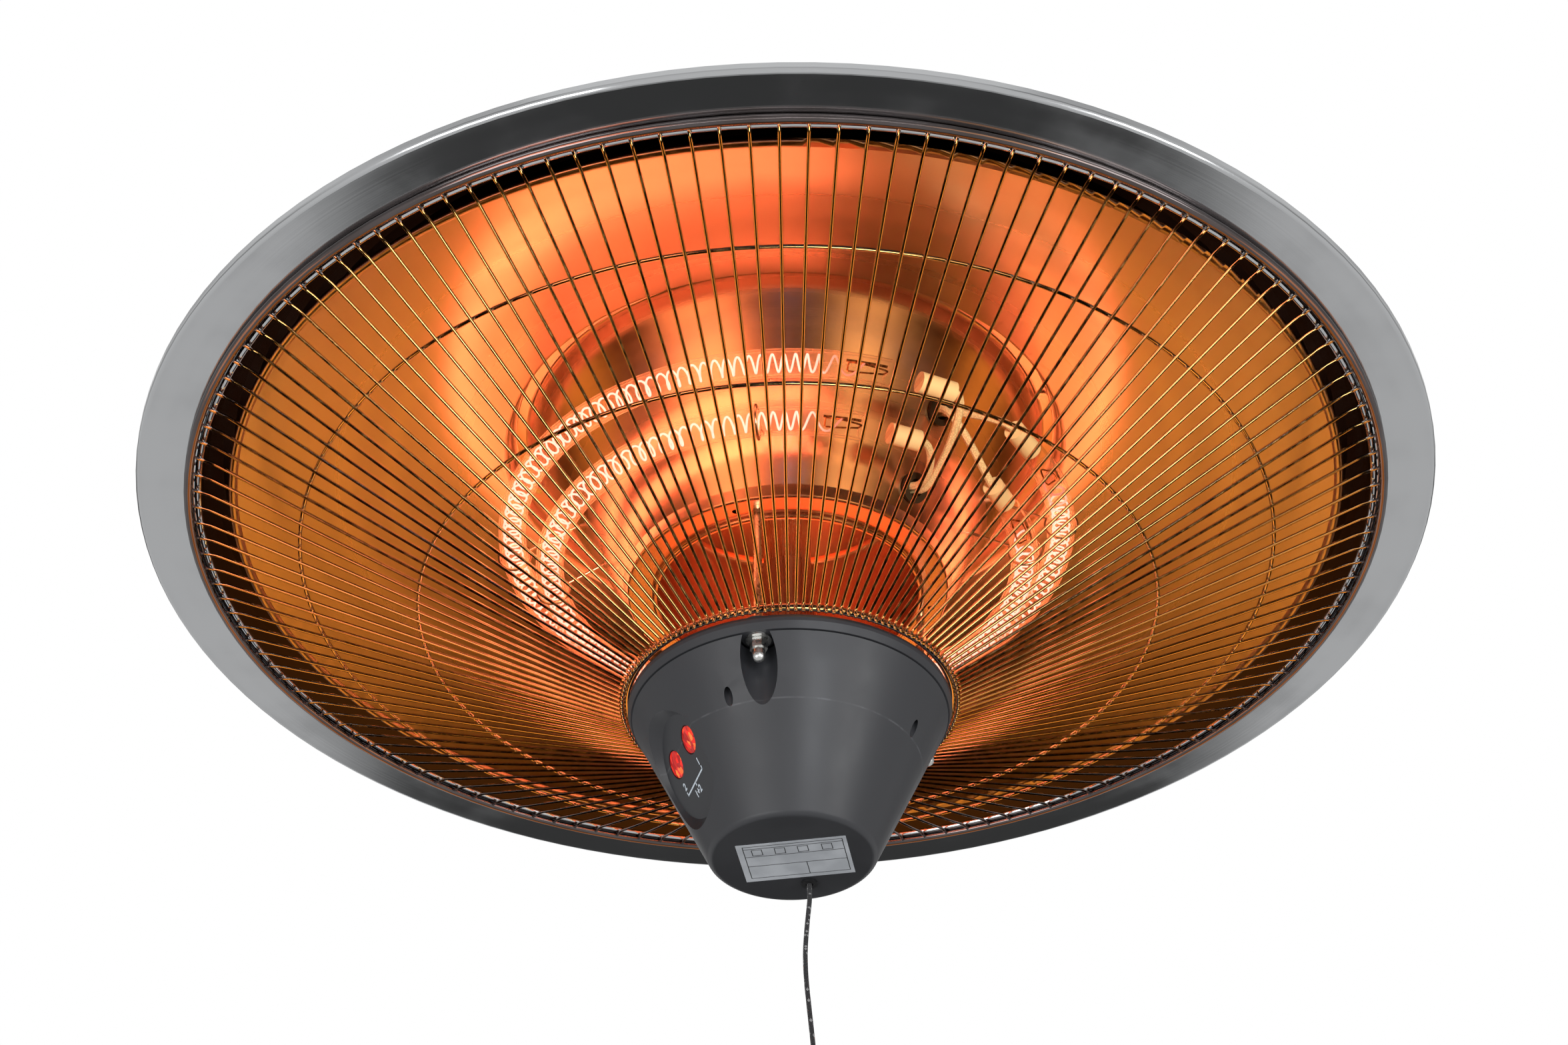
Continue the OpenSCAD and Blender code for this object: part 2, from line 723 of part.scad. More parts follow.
// Straight leads between each filament's ends and the pinches
module filament_lead(r, z, a0, a1) {
    translate([0, 0, z]) arc_ring(a0, a1) translate([r + coil_r, 0]) circle(r = 0.6, $fn = 24);
}
module lead_pair(r, z, ends, coil_az, skip) {
    filament_lead(r, z, ends[1] + pinch_span + 1, coil_az[0] - skip);
    filament_lead(r, z, coil_az[1] - 360 + skip, ends[0] - pinch_span - 1);
}
module filament_leads() {
    color("gray") at_brim() {
        lead_pair(tube_o_r, tube_o_z, outer_end_az, outer_coil_az, 0.9);
        lead_pair(tube_i_r, tube_i_z, inner_end_az, inner_coil_az, 1);
    }
}

// Ceramic caps on the tube ends. side is 1 at the near end and -1 at the far end
function cap_len(r) = r * cap_span * PI / 180;
module at_end(r, z, az, side) {
    turned(az) translate([0, -r, z]) rotate([0, 90 * side, 0]) children();
}
module end_cap(r, z, az, side) {
    at_end(r, z, az, side) translate([0, 0, 1.2]) difference() {
        cylinder(r = end_cap_r, h = cap_len(r) - 4);
        translate([0, 0, cap_len(r) - 8]) cylinder(r = lead_r + fit, h = 8);
    }
}
module end_caps() {
    color("ivory") at_brim() {
        end_cap(tube_o_r, tube_o_z, outer_end_az[0], 1);
        end_cap(tube_o_r, tube_o_z, outer_end_az[1], -1);
        end_cap(tube_i_r, tube_i_z, inner_end_az[0], 1);
        end_cap(tube_i_r, tube_i_z, inner_end_az[1], -1);
    }
}

// Wire clips that carry both tubes off the hub
module tube_clip(r, z) {
    foot = (r - hub_r - (z - hub_z) * hub_slope) * cos(hub_tilt);
    loop_r = glass_r + soft_gap + clip_wire_r;
    translate([0, -r, z]) {
        rotate([0, 90, 0]) torus(loop_r, clip_wire_r);
        rotate([hub_tilt - 90, 0, 0]) translate([0, 0, loop_r])
            cylinder(r = clip_wire_r, h = foot - loop_r - refl_t / 2 - gap);
    }
}
module tube_supports() {
    color("silver") at_brim() for (a = clip_az) turned(a) {
        turned(1.2) tube_clip(tube_o_r, tube_o_z);
        turned(-1.2) tube_clip(tube_i_r, tube_i_z);
    }
}

// Rubber grommets in the hub
module grommets() {
    neck = grommet_hole_r - gap;
    bore = 2 * lead_r + 0.5;
    color("#161616") at_brim() for (z = [grommet_up_z, grommet_low_z])
        on_hub(lead_az, z, 0) difference() {
            union() {
                translate([0, 0, -2.2]) cylinder(r = neck, h = 4);
                translate([0, 0, 0.8]) cylinder(r = neck + 1.4, h = 1.6);
                translate([0, 0, -2.4]) cylinder(r = neck + 1.4, h = 1.6);
            }
            translate([0, 0, -4]) cylinder(r = bore, h = 8);
        }
}

// Braided heater leads, from each end cap through a grommet to the terminal block
function hub_point(z, lift) =
    let (r = hub_r + (z - hub_z) * hub_slope)
    [r + lift * cos(hub_tilt), z - lift * sin(hub_tilt)];
function lead_path(r, z, az, s, gz, x, end_x, end_p) =
    let (
        start = polar(r, az, z) + s * [cos(az), sin(az), 0] * (cap_len(r) - 6.7),
        dir = s * [cos(az), sin(az), 0],
        across = [cos(lead_az), sin(lead_az), 0],
        g0 = hub_point(gz, 3.5),
        g1 = hub_point(gz, -3.5),
        far = hub_point(gz, 14),
        a = polar(g0[0], lead_az, g0[1]) + x * across,
        b = polar(g1[0], lead_az, g1[1]) + x * across,
        f = polar(far[0], lead_az, far[1]) + x * across,
        stop = polar(end_p[0], lead_az, end_p[1]) + end_x * across,
        back = polar(end_p[0] + 6, lead_az, end_p[1]) + end_x * across
    )
    concat(
        [start],
        bezier(start + dir * 5.4, start + dir * 13, f, a, 12),
        bezier(b, 1.6 * b - 0.6 * a, back, stop, 6)
    );
block_r = term_r[1] + 0.3;
heater_lead_paths = [
    lead_path(tube_o_r, tube_o_z, outer_end_az[0], 1, grommet_low_z, 1.95, -3, [block_r, -5]),
    lead_path(tube_i_r, tube_i_z, inner_end_az[0], 1, grommet_low_z, -1.95, -9, [block_r, -5]),
    lead_path(tube_o_r, tube_o_z, outer_end_az[1], -1, grommet_up_z, 1.95, 9, [block_r, 5]),
    lead_path(tube_i_r, tube_i_z, inner_end_az[1], -1, grommet_up_z, -1.95, 3, [block_r, 5])
];
module heater_leads() {
    color("beige") at_brim() for (p = heater_lead_paths)
        sweep(p, [for (q = p) [0.2, 0.1, 1]], lead_r, 8);
}

// Grille
module grille_outer_ring() {
    color("silver") at_brim() translate([0, 0, outer_ring_z]) torus(outer_ring_r, outer_bar_r);
}
// Middle rings lie on the inner side of the wires' cone
module mid_ring(r) {
    lift = wire_r + mid_bar_r + fit;
    z = wire_z - (bend_r - r) * tan(wire_tilt) + lift / cos(wire_tilt);
    translate([0, 0, z]) torus(r, mid_bar_r);
}
module grille_mid_ring_1() {
    color("silver") at_brim() mid_ring(mid_ring_1_r);
}
module grille_mid_ring_2() {
    color("silver") at_brim() mid_ring(mid_ring_2_r);
}
module grille_inner_ring() {
    color("silver") at_brim() translate([0, 0, inner_ring_z]) torus(inner_ring_r, inner_bar_r);
}
module wire_leg(r, z, tilt, length) {
    translate([0, -r, z]) rotate([tilt, 0, 0]) cylinder(r = wire_r, h = length, $fn = 16);
}
module wire_bend(r, z) {
    translate([0, -r, z]) sphere(r = wire_r + bend_swell, $fn = 16);
}
module grille_wires() {
    slope_l = norm([bend_r - wire_in_r, wire_z - wire_in_z]);
    run = outer_ring_r - outer_bar_r - fit - bend_r;
    rise = atan((outer_ring_z - outer_bar_r / 2 - wire_z) / run);
    color("silver") at_brim() for (i = [0:wire_count - 1]) turned(360 * i / wire_count) {
        wire_leg(bend_r, wire_z, 90 - rise, run / cos(rise));
        wire_bend(bend_r, wire_z);
        wire_leg(bend_r, wire_z, -90 - wire_tilt, slope_l);
        wire_bend(wire_in_r, wire_in_z);
        wire_leg(wire_in_r, wire_in_z, 180, wire_tail);
    }
}

// Tie rods between the hub's land and the housing collar, with their nuts
module tie_rods() {
    color("silver") at_brim() ring_of(3, tie_r, tie_az, seam_z - washer_t - 5)
        cylinder(r = tie_rod_r, h = land_z + 6 - seam_z + washer_t + 5);
}
module rod_nuts() {
    color("silver") at_brim() ring_of(3, tie_r, tie_az, land_z + refl_t / 2 + gap) difference() {
        cylinder(r = nut_r, h = 3.2, $fn = 6);
        translate([0, 0, -1]) cylinder(r = tie_rod_r + fit, h = 6);
    }
}
module tie_washers() {
    color("silver") at_brim() ring_of(3, tie_r, tie_az, seam_z - washer_t - gap) difference() {
        cylinder(r = washer_r, h = washer_t);
        translate([0, 0, -1]) cylinder(r = tie_rod_r + fit, h = washer_t + 2);
    }
}
module acorn_nuts() {
    hex_h = 4.6;
    color("silver") at_brim() ring_of(3, tie_r, tie_az, seam_z - washer_t - 2 * gap - hex_h)
        difference() {
            union() {
                intersection() {
                    cylinder(r = nut_r, h = hex_h, $fn = 6);
                    translate([0, 0, hex_h - 3.9]) sphere(r = 5.4);
                }
                translate([0, 0, -3.2]) cylinder(r = 2.9, h = 4);
                translate([0, 0, -3.2]) sphere(r = 2.9);
            }
            translate([0, 0, hex_h - 5.6]) cylinder(r = tie_rod_r + fit, h = 8);
        }
}

// Housing collar: a plate with a rounded skirt, bosses and screw pillars
module housing_collar() {
    plate_t = 2.6;
    path = rounded(
        [
            [pipe_r + 1, collar_z - plate_t / 2],
            [collar_r - plate_t / 2, collar_z - plate_t / 2],
            [cone_top_r - plate_t / 2 + 0.6, seam_z]
        ],
        [0, 2.2, 0]
    );
    color("#46474a") at_brim() difference() {
        union() {
            difference() {
                rotate_extrude() polygon(sheet(path, plate_t));
                translate([0, 0, seam_z - plate_t]) cylinder(r = collar_r, h = plate_t);
            }
            intersection() {
                ring_of(3, tie_r, tie_az, seam_z) cylinder(r = boss_r, h = collar_h - 1);
                translate([0, 0, seam_z]) cylinder(r1 = cone_top_r, r2 = collar_r - 0.4, h = collar_h);
            }
            ring_of(4, well_screw_r(), screw_az, seam_z - 2) cylinder(r = 4, h = collar_h);
        }
        ring_of(3, tie_r, tie_az, seam_z - 1) cylinder(r = tie_rod_r + 0.15, h = collar_h + 2);
        ring_of(4, well_screw_r(), screw_az, seam_z - 3) cylinder(r = 1.2 + fit, h = collar_h);
    }
}
function cone_at(z) = cone_bot_r + (z - floor_z) * cone_slope;
function well_screw_r() = cone_at(cone_z - 22.5);

// Cone of the housing, with recesses for the nuts, screw wells and the lamp facet
module on_cone(az, z, lift) {
    turned(az) translate([0, -cone_at(z), z])
        rotate([90 + cone_tilt, 0, 0]) translate([0, 0, lift]) children();
}
// A shallow round hollow with a flat floor and flared sides
module facet_hollow(wider, from, to) {
    translate([facet_middle[0], facet_middle[1], from])
        cylinder(
            r1 = facet_r + wider + (from + facet_deep) * facet_flare,
            r2 = facet_r + wider + (to + facet_deep) * facet_flare,
            h = to - from
        );
}
module cone_solid() {
    e = cone_edge_r;
    rotate_extrude() polygon(concat(
        [[0, cone_z], [cone_top_r, cone_z]],
        corner([cone_top_r, cone_z], [cone_bot_r, floor_z], [0, floor_z], e, 6),
        [[0, floor_z]]
    ));
}
module cone_void() {
    w = cone_wall / cos(cone_tilt);
    top_r = cone_top_r - w;
    bot_r = cone_at(floor_z + floor_t) - w;
    rotate_extrude() polygon([
        [0, cone_z + 1], [top_r + cone_slope, cone_z + 1], [bot_r, floor_z + floor_t],
        [0, floor_z + floor_t]
    ]);
}
module lamp_place(s) {
    on_cone(facet_az, facet_z, 0)
        translate([lamp_centre[0] + s * lamp_gap / 2, lamp_centre[1], -facet_deep]) children();
}
module lamp_places() {
    for (s = [-1, 1]) lamp_place(s) children();
}
// What stands inside the cone: walls round the nuts, screw pillars and the lamp pad
module cone_pillars() {
    ring_of(3, tie_r, tie_az, floor_z) cylinder(r = scallop_r + 2, h = cone_h + 2);
    ring_of(4, well_screw_r(), screw_az, floor_z) cylinder(r = 4, h = cone_h - 2);
    on_cone(facet_az, facet_z, 0) facet_hollow(pad_t, -facet_deep - pad_t, 1);
}
module housing_cone() {
    color("#3f4043") at_brim() difference() {
        cone_solid();
        difference() {
            cone_void();
            cone_pillars();
        }
        ring_of(3, tie_r, tie_az, floor_z - 1) cylinder(r = scallop_r, h = cone_h + 2);
        ring_of(4, well_screw_r(), screw_az, floor_z - 1) cylinder(r = well_bore_r, h = cone_h - 9.5);
        ring_of(4, well_screw_r(), screw_az, floor_z) cylinder(r = 1.2 + fit, h = cone_h + 2);
        on_cone(facet_az, facet_z, 0) facet_hollow(0, -facet_deep, 8);
        lamp_places() {
            translate([0, 0, -pad_t - 1]) cylinder(r = lamp_stem_r + fit, h = pad_t + 2);
            translate([0, 0, -lens_sink]) cylinder(r = lens_r + lens_play, h = lens_sink + 1);
        }
        translate([cord_x, cord_y, floor_z - 1]) cylinder(r = 2.9 + fit, h = 6);
    }
}
module housing_screws() {
    head_z = floor_z + cone_h - 10.5 - gap;
    color("silver") at_brim() ring_of(4, well_screw_r(), screw_az, 0) difference() {
        union() {
            translate([0, 0, head_z - 1.6]) cylinder(r = well_bore_r - gap, h = 1.6);
            translate([0, 0, head_z - 0.5]) cylinder(r = 1.2, h = seam_z + collar_h - 5 - head_z);
        }
        translate([-1.2, -0.25, head_z - 2]) cube([2.4, 0.5, 1.1]);
        translate([-0.25, -1.2, head_z - 2]) cube([0.5, 2.4, 1.1]);
    }
}

// Pilot lamps: a lens over the facet and a lamp body behind it
module pilot_lens(s) {
    steps = 5;
    half = asin(lens_r / lens_dome_r);
    top = lens_sink + lens_rise;
    dome = [
        for (i = [0:steps])
            let (a = half * (1 - i / steps)) [lens_dome_r * sin(a), top - lens_dome_r * (1 - cos(a))]
    ];
    color("red", 0.8) at_brim() lamp_place(s) union() {
        translate([0, 0, fit - lens_sink])
            rotate_extrude() polygon(concat([[0, 0], [lens_r, 0]], dome));
        translate([0, 0, -pad_t]) cylinder(r = lamp_stem_r, h = pad_t - lens_sink / 2);
    }
}
module pilot_lens_1() {
    pilot_lens(1);
}
module pilot_lens_2() {
    pilot_lens(-1);
}
module lamp_bodies() {
    color("whitesmoke") at_brim() lamp_places() union() {
        translate([0, 0, -pad_t - gap - lamp_body_h]) cylinder(r = lamp_stem_r, h = lamp_body_h);
        translate([0, 0, -pad_t - gap - 2]) cylinder(r = lamp_flange_r, h = 2);
        for (x = [-2, 2])
            translate([x - 0.4, -1.4, -pad_t - gap - lamp_body_h - lamp_blade_h])
                cube([0.8, 2.8, lamp_blade_h + 1]);
    }
}
module rating_label() {
    color("silver") at_brim() translate([1.2, 0.4, floor_z - label_t - 0.02]) rotate([0, 0, label_turn])
        translate([-label_l / 2, -label_w / 2, 0]) cube([label_l, label_w, label_t]);
}

// Pull switch: a body with a cam, a sprung carrier, and the cord with its knob
module at_cord(z) {
    translate([cord_x, cord_y, z]) children();
}
module cord_eyelet() {
    color("#161616") at_brim() at_cord(0) difference() {
        union() {
            translate([0, 0, floor_z - 1.1]) cylinder(r = eyelet_r, h = 1);
            translate([0, 0, floor_z - 0.5]) cylinder(r = 2.9, h = floor_t + 1);
        }
        translate([0, 0, floor_z - 2]) cylinder(r = cord_r + 0.55, h = 8);
    }
}
module switch_body() {
    w = switch_w;
    d = switch_d;
    t = switch_wall;
    color("#2b2d30") at_brim() difference() {
        at_cord(switch_z) translate([-w / 2, -d / 2, 0]) union() {
            cube([w, d, switch_h]);
            translate([4, 4, floor_z + floor_t + gap - switch_z])
                cube([w - 8, d - 8, switch_z - floor_z - floor_t]);
        }
        at_cord(switch_z + t) translate([t - w / 2, t - d / 2, 0])
            cube([w - 2 * t, d - 2 * t, switch_h - 2 * t]);
        at_cord(floor_z) cylinder(r = 3.2, h = 12);
        at_cord(cam_z) rotate([0, 90, 0]) translate([0, 0, -w]) cylinder(r = 1.5 + fit, h = 2 * w);
    }
}
module switch_terminals() {
    color("goldenrod") at_brim()
        for (x = [-7, 0, 7])
            at_cord(switch_z + switch_h + gap) translate([x - 2, -0.4, 0]) cube([4, 0.8, 7]);
}
module cam_axle() {
    color("silver") at_brim() at_cord(cam_z) rotate([0, 90, 0])
        translate([0, 0, -switch_w / 2]) cylinder(r = 1.5, h = switch_w);
}
module switch_cam() {
    teeth = 8;
    color("white") at_brim() at_cord(cam_z) rotate([0, 90, 0]) difference() {
        union() {
            translate([0, 0, -3]) cylinder(r = cam_r - 1.4, h = 6);
            for (i = [0:teeth - 1])
                rotate([0, 0, 360 * i / teeth]) translate([cam_r - 2.6, -0.8, -3]) cube([2.4, 1.6, 6]);
        }
        translate([0, 0, -4]) cylinder(r = 1.5 + fit, h = 8);
    }
}
module pull_carrier() {
    color("white") at_brim() at_cord(0) union() {
        translate([0, 0, carrier_z]) cylinder(r = 6, h = 3);
        translate([0, 0, floor_z + CORD[0][2] + gap])
            cylinder(r = stem_r, h = carrier_z - floor_z - CORD[0][2]);
    }
}
module return_spring() {
    color("silver") at_brim() at_cord(0)
        tube(4.2, 2.4, switch_z + switch_wall + gap, carrier_z - gap);
}
cord_route = through([for (p = CORD) p + [cord_x, cord_y, floor_z]], 3);
module pull_cord() {
    color("#1d1d1f") at_brim() sweep(cord_route, [for (p = cord_route) [0, 1, 0]], cord_r, 8);
}
module pull_knob() {
    top_r = 3.4;
    last = CORD[len(CORD) - 1];
    path = concat(
        [[0, 0], [top_r - 1, 0], [top_r, -1.2]],
        [
            for (i = [1:8])
                [top_r + (knob_r - top_r) * (1 - cos(90 * i / 8)), -1.2 - (knob_l - 5) * i / 8]
        ],
        [[knob_r, -knob_l + 1.4], [knob_r - 1.4, -knob_l], [0, -knob_l]]
    );
    color("#2b2d30") at_brim() translate([cord_x + last[0], cord_y + last[1], knob_z]) difference() {
        rotate_extrude() polygon(path);
        translate([0, 0, -cord_sink - fit]) cylinder(r = cord_r + fit, h = cord_sink + 2);
    }
}

shade();
top_cap();
cap_screws();
cap_nuts();
hanging_eye();
eye_plug();
gland_body();
gland_nut();
gland_seal();
supply_lead();
central_pipe();
pipe_nuts();
lower_sleeve();
reflector();
reflector_hub();
spacer_posts();
hub_rivets();
hub_terminal();
outer_tube();
inner_tube();
outer_filament();
inner_filament();
filament_leads();
end_caps();
tube_supports();
grommets();
heater_leads();
grille_outer_ring();
grille_mid_ring_1();
grille_mid_ring_2();
grille_inner_ring();
grille_wires();
tie_rods();
rod_nuts();
tie_washers();
acorn_nuts();
housing_collar();
housing_cone();
housing_screws();
pilot_lens_1();
pilot_lens_2();
lamp_bodies();
rating_label();
cord_eyelet();
switch_body();
switch_terminals();
switch_cam();
cam_axle();
pull_carrier();
return_spring();
pull_cord();
pull_knob();
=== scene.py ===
import math

import bmesh
import bpy
from mathutils import Matrix, Vector


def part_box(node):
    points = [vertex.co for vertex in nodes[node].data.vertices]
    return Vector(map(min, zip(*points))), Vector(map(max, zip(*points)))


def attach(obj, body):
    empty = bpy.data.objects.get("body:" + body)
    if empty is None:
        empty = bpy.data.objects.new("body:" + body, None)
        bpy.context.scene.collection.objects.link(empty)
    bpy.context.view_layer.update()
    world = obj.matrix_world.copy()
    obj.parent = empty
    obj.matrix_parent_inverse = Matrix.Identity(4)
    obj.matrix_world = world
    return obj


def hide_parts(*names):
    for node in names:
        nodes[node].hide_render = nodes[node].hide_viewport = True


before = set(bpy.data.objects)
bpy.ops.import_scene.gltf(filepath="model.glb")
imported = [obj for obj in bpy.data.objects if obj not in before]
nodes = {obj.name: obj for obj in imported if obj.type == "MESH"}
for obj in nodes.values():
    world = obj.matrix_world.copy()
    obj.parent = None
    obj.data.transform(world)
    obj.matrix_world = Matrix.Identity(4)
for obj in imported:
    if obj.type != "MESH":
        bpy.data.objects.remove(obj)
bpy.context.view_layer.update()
scene = bpy.context.scene


# Camera. The heater hangs overhead, and the camera stands in front of it and below it,
# looking up at about 37 degrees with a short telephoto lens.
view_right = Vector((0.9998233, 0.01208734, -0.01439656))
view_up = Vector((0.01877925, -0.60806314, 0.79366653))
view_ahead = Vector((-0.0008393, 0.79379665, 0.60818268))
camera_place = Vector((0, -1.11817, -0.9864144))
camera = bpy.data.objects.new("camera", bpy.data.cameras.new("camera"))
scene.collection.objects.link(camera)
film_width, focal_pixels, picture_width = 36, 4500, 2352
camera.data.sensor_width = film_width
camera.data.lens = focal_pixels / picture_width * film_width
camera.data.clip_start = 0.01
axes = Matrix((view_right, view_up, -view_ahead)).transposed()
camera.matrix_world = Matrix.Translation(camera_place) @ axes.to_4x4()
scene.camera = camera
scene.view_settings.view_transform = "Standard"


# Studio. The camera sees a white surround. The outside stands in a large soft dome of
# light with a dim corner, dark cards and a dark horizon for the polished steel to mirror.
# The inside is lit by its own filaments and by weak warm lamps, each for its own pieces.
def ramp_node(tree, source, low, high, to_low=0.0, to_high=1.0):
    node = tree.nodes.new("ShaderNodeMapRange")
    node.interpolation_type = "SMOOTHSTEP"
    for name, value in (("From Min", low), ("From Max", high), ("To Min", to_low), ("To Max", to_high)):
        node.inputs[name].default_value = value
    tree.links.new(source, node.inputs["Value"])
    return node.outputs["Result"]


def math_node(tree, operation, a, b=None, c=None):
    node = tree.nodes.new("ShaderNodeMath")
    node.operation = operation
    for socket, value in zip(node.inputs, (a, b, c)):
        if value is None:
            continue
        if isinstance(value, (int, float)):
            socket.default_value = value
        else:
            tree.links.new(value, socket)
    return node.outputs[0]


def mix_colours(tree, share, a, b):
    node = tree.nodes.new("ShaderNodeMix")
    node.data_type = "RGBA"
    for socket, value in ((node.inputs["Factor"], share), (node.inputs["A"], a), (node.inputs["B"], b)):
        if isinstance(value, bpy.types.NodeSocket):
            tree.links.new(value, socket)
        else:
            socket.default_value = value if isinstance(value, (int, float)) else (*value, 1)
    return node.outputs["Result"]


world = bpy.data.worlds.new("studio")
scene.world = world
world.use_nodes = True
tree = world.node_tree
path = tree.nodes.new("ShaderNodeLightPath").outputs
sight = math_node(tree, "MAXIMUM", path["Is Camera Ray"],
                  math_node(tree, "MAXIMUM", path["Is Glossy Ray"], path["Is Transmission Ray"]))
tree.links.new(mix_colours(tree, sight, (0.02, 0.02, 0.02), (1, 1, 1)),
               tree.nodes["Background"].inputs["Color"])

pale_pieces = ("end_caps", "heater_leads", "tube_supports", "grommets", "tie_rods", "rod_nuts",
               "central_pipe", "lower_sleeve", "pipe_nuts")
bright_rings = ("grille_inner_ring", "grille_mid_ring_1", "grille_mid_ring_2")
inside_pieces = (
    *pale_pieces, *bright_rings, "reflector", "reflector_hub", "spacer_posts", "hub_rivets", "hub_terminal",
    "outer_tube", "inner_tube", "outer_filament", "inner_filament", "filament_leads", "grille_wires",
    "grille_outer_ring",
)
housing_pieces = ("housing_collar", "housing_cone", "acorn_nuts", "tie_washers", "rating_label")
outside_pieces = [name for name in nodes if name not in inside_pieces] + ["grille_outer_ring"]


def lit_group(name, pieces):
    group = bpy.data.collections.new(name)
    for piece in pieces:
        group.objects.link(nodes[piece])
    return group


lit_inside = lit_group("lit_inside", inside_pieces)
lit_outside = lit_group("lit_outside", outside_pieces)
lit_pale = lit_group("lit_pale", pale_pieces)
lit_wires = lit_group("lit_wires", bright_rings)
lit_housing = lit_group("lit_housing", housing_pieces)


def soft_lamp(name, place, target, across, watts, lit, colour=(1, 1, 1), height=None):
    lamp = bpy.data.objects.new(name, bpy.data.lights.new(name, "AREA"))
    lamp.data.shape = "DISK" if height is None else "ELLIPSE"
    lamp.data.size = across
    lamp.data.size_y = height or across
    lamp.data.energy = watts
    lamp.data.color = colour
    scene.collection.objects.link(lamp)
    lamp.location = place
    lamp.rotation_euler = (Vector(target) - Vector(place)).to_track_quat("-Z", "Y").to_euler()
    lamp.light_linking.receiver_collection = lit
    lamp.visible_camera = False


housing_top, tubes_middle, rims_middle = (0, 0, -0.2), (0, 0, -0.13), (0, 0, -0.12)
cool_white, cream, lavender = (0.93, 0.96, 1), (1, 0.70, 0.34), (0.85, 0.80, 1)
gold, pale_gold, amber = (1, 0.46, 0.13), (1, 0.60, 0.20), (1, 0.31, 0.035)
salmon, ember = (1, 0.25, 0.075), (1, 0.09, 0.015)
soft_lamp("lamp_front_left", (-1.5, -1.6, -1.5), housing_top, across=1.2, watts=16, lit=lit_outside)
soft_lamp("lamp_front_right", (1.7, -1.2, -0.9), housing_top, across=1.0, watts=10, lit=lit_outside)
soft_lamp("lamp_above", (-0.5, -0.4, 1.9), (0, 0, 0), across=2.2, watts=16, lit=lit_outside)
soft_lamp("strip_front", (-0.3, -2.4, -1.5), (0, -0.3, 0), across=3.4, watts=7, lit=lit_outside, height=0.16)
soft_lamp("lamp_gold", (1.15, -1.55, -0.8), tubes_middle, across=0.9, watts=4.4, lit=lit_inside, colour=gold)
soft_lamp("lamp_salmon", (-1.1, -1.6, -0.75), tubes_middle, across=1.2, watts=15, lit=lit_inside,
          colour=salmon)
soft_lamp("lamp_glint", (0.05, -1.4, -0.62), tubes_middle, across=0.06, watts=0.05, lit=lit_inside,
          colour=lavender)
soft_lamp("lamp_collar", (0, 0, -0.226), (0, 0, 0), across=0.11, watts=0.08, lit=lit_inside, colour=ember)
soft_lamp("lamp_pale_pieces", (0.5, -1.5, -1.0), (0.05, 0, -0.14), across=0.4, watts=44, lit=lit_pale,
          colour=cream)
soft_lamp("lamp_wires", (0.35, -1.0, -1.7), (0, 0, -0.05), across=0.7, watts=11, lit=lit_wires,
          colour=pale_gold)
soft_lamp("lamp_housing", (0.75, -1.9, -0.55), tubes_middle, across=0.7, watts=9, lit=lit_housing,
          colour=cool_white)
soft_lamp("amber_behind", (0, 2.0, -1.25), rims_middle, across=1.7, watts=11, lit=lit_inside, colour=amber)
soft_lamp("amber_left", (-1.5, 0.3, -1.0), (0.1, 0, -0.12), across=0.9, watts=4, lit=lit_inside,
          colour=amber)
soft_lamp("amber_right", (1.5, 0.3, -1.0), (-0.1, 0, -0.12), across=0.9, watts=4, lit=lit_inside,
          colour=amber)

dome_mesh = bpy.data.meshes.new("studio_dome")
shape = bmesh.new()
dome_radius = 6
bmesh.ops.create_uvsphere(shape, u_segments=24, v_segments=12, radius=dome_radius)
bmesh.ops.reverse_faces(shape, faces=shape.faces)
shape.to_mesh(dome_mesh)
shape.free()
dome = bpy.data.objects.new("studio_dome", dome_mesh)
scene.collection.objects.link(dome)
dome.visible_camera = False
dome.visible_shadow = False
dome.light_linking.receiver_collection = lit_outside
dome_light = bpy.data.materials.new("studio_dome")
dome_light.use_nodes = True
tree = dome_light.node_tree
tree.nodes.clear()
unit = tree.nodes.new("ShaderNodeVectorMath")
unit.operation = "NORMALIZE"
tree.links.new(tree.nodes.new("ShaderNodeTexCoord").outputs["Object"], unit.inputs[0])
direction = tree.nodes.new("ShaderNodeSeparateXYZ")
tree.links.new(unit.outputs[0], direction.inputs[0])
behind = ramp_node(tree, direction.outputs["Y"], 0.15, 0.6)
below = ramp_node(tree, direction.outputs["Z"], 0.05, -0.35)
sideways = ramp_node(tree, math_node(tree, "ABSOLUTE", direction.outputs["X"]), 0.15, 0.20)
even_level, corner_drop, corner_share = 0.66, 0.61, 0.9
horizon_drop, top_gain, card_side, card_drop = -0.34, 0.16, 0.62, 0.26
corner = math_node(tree, "SUBTRACT", 1.0, math_node(tree, "MULTIPLY", sideways, corner_share))
dim_share = math_node(tree, "MULTIPLY", math_node(tree, "MULTIPLY", behind, below), corner)
above = ramp_node(tree, direction.outputs["Z"], -0.02, 0.05)
height_light = math_node(tree, "MULTIPLY", above,
                         ramp_node(tree, direction.outputs["Z"], 0.0, 0.85, horizon_drop, top_gain))
off_card = math_node(tree, "SUBTRACT", math_node(tree, "ABSOLUTE", direction.outputs["X"]), card_side)
dark_card = math_node(tree, "MULTIPLY", above,
                      ramp_node(tree, math_node(tree, "ABSOLUTE", off_card), 0.07, 0.16, card_drop, 0.0))
even = math_node(tree, "SUBTRACT", math_node(tree, "ADD", even_level, height_light), dark_card)
level = math_node(tree, "SUBTRACT", even, math_node(tree, "MULTIPLY", dim_share, corner_drop))
glow = tree.nodes.new("ShaderNodeEmission")
tree.links.new(level, glow.inputs["Strength"])
tree.links.new(glow.outputs[0], tree.nodes.new("ShaderNodeOutputMaterial").inputs["Surface"])
dome_mesh.materials.append(dome_light)


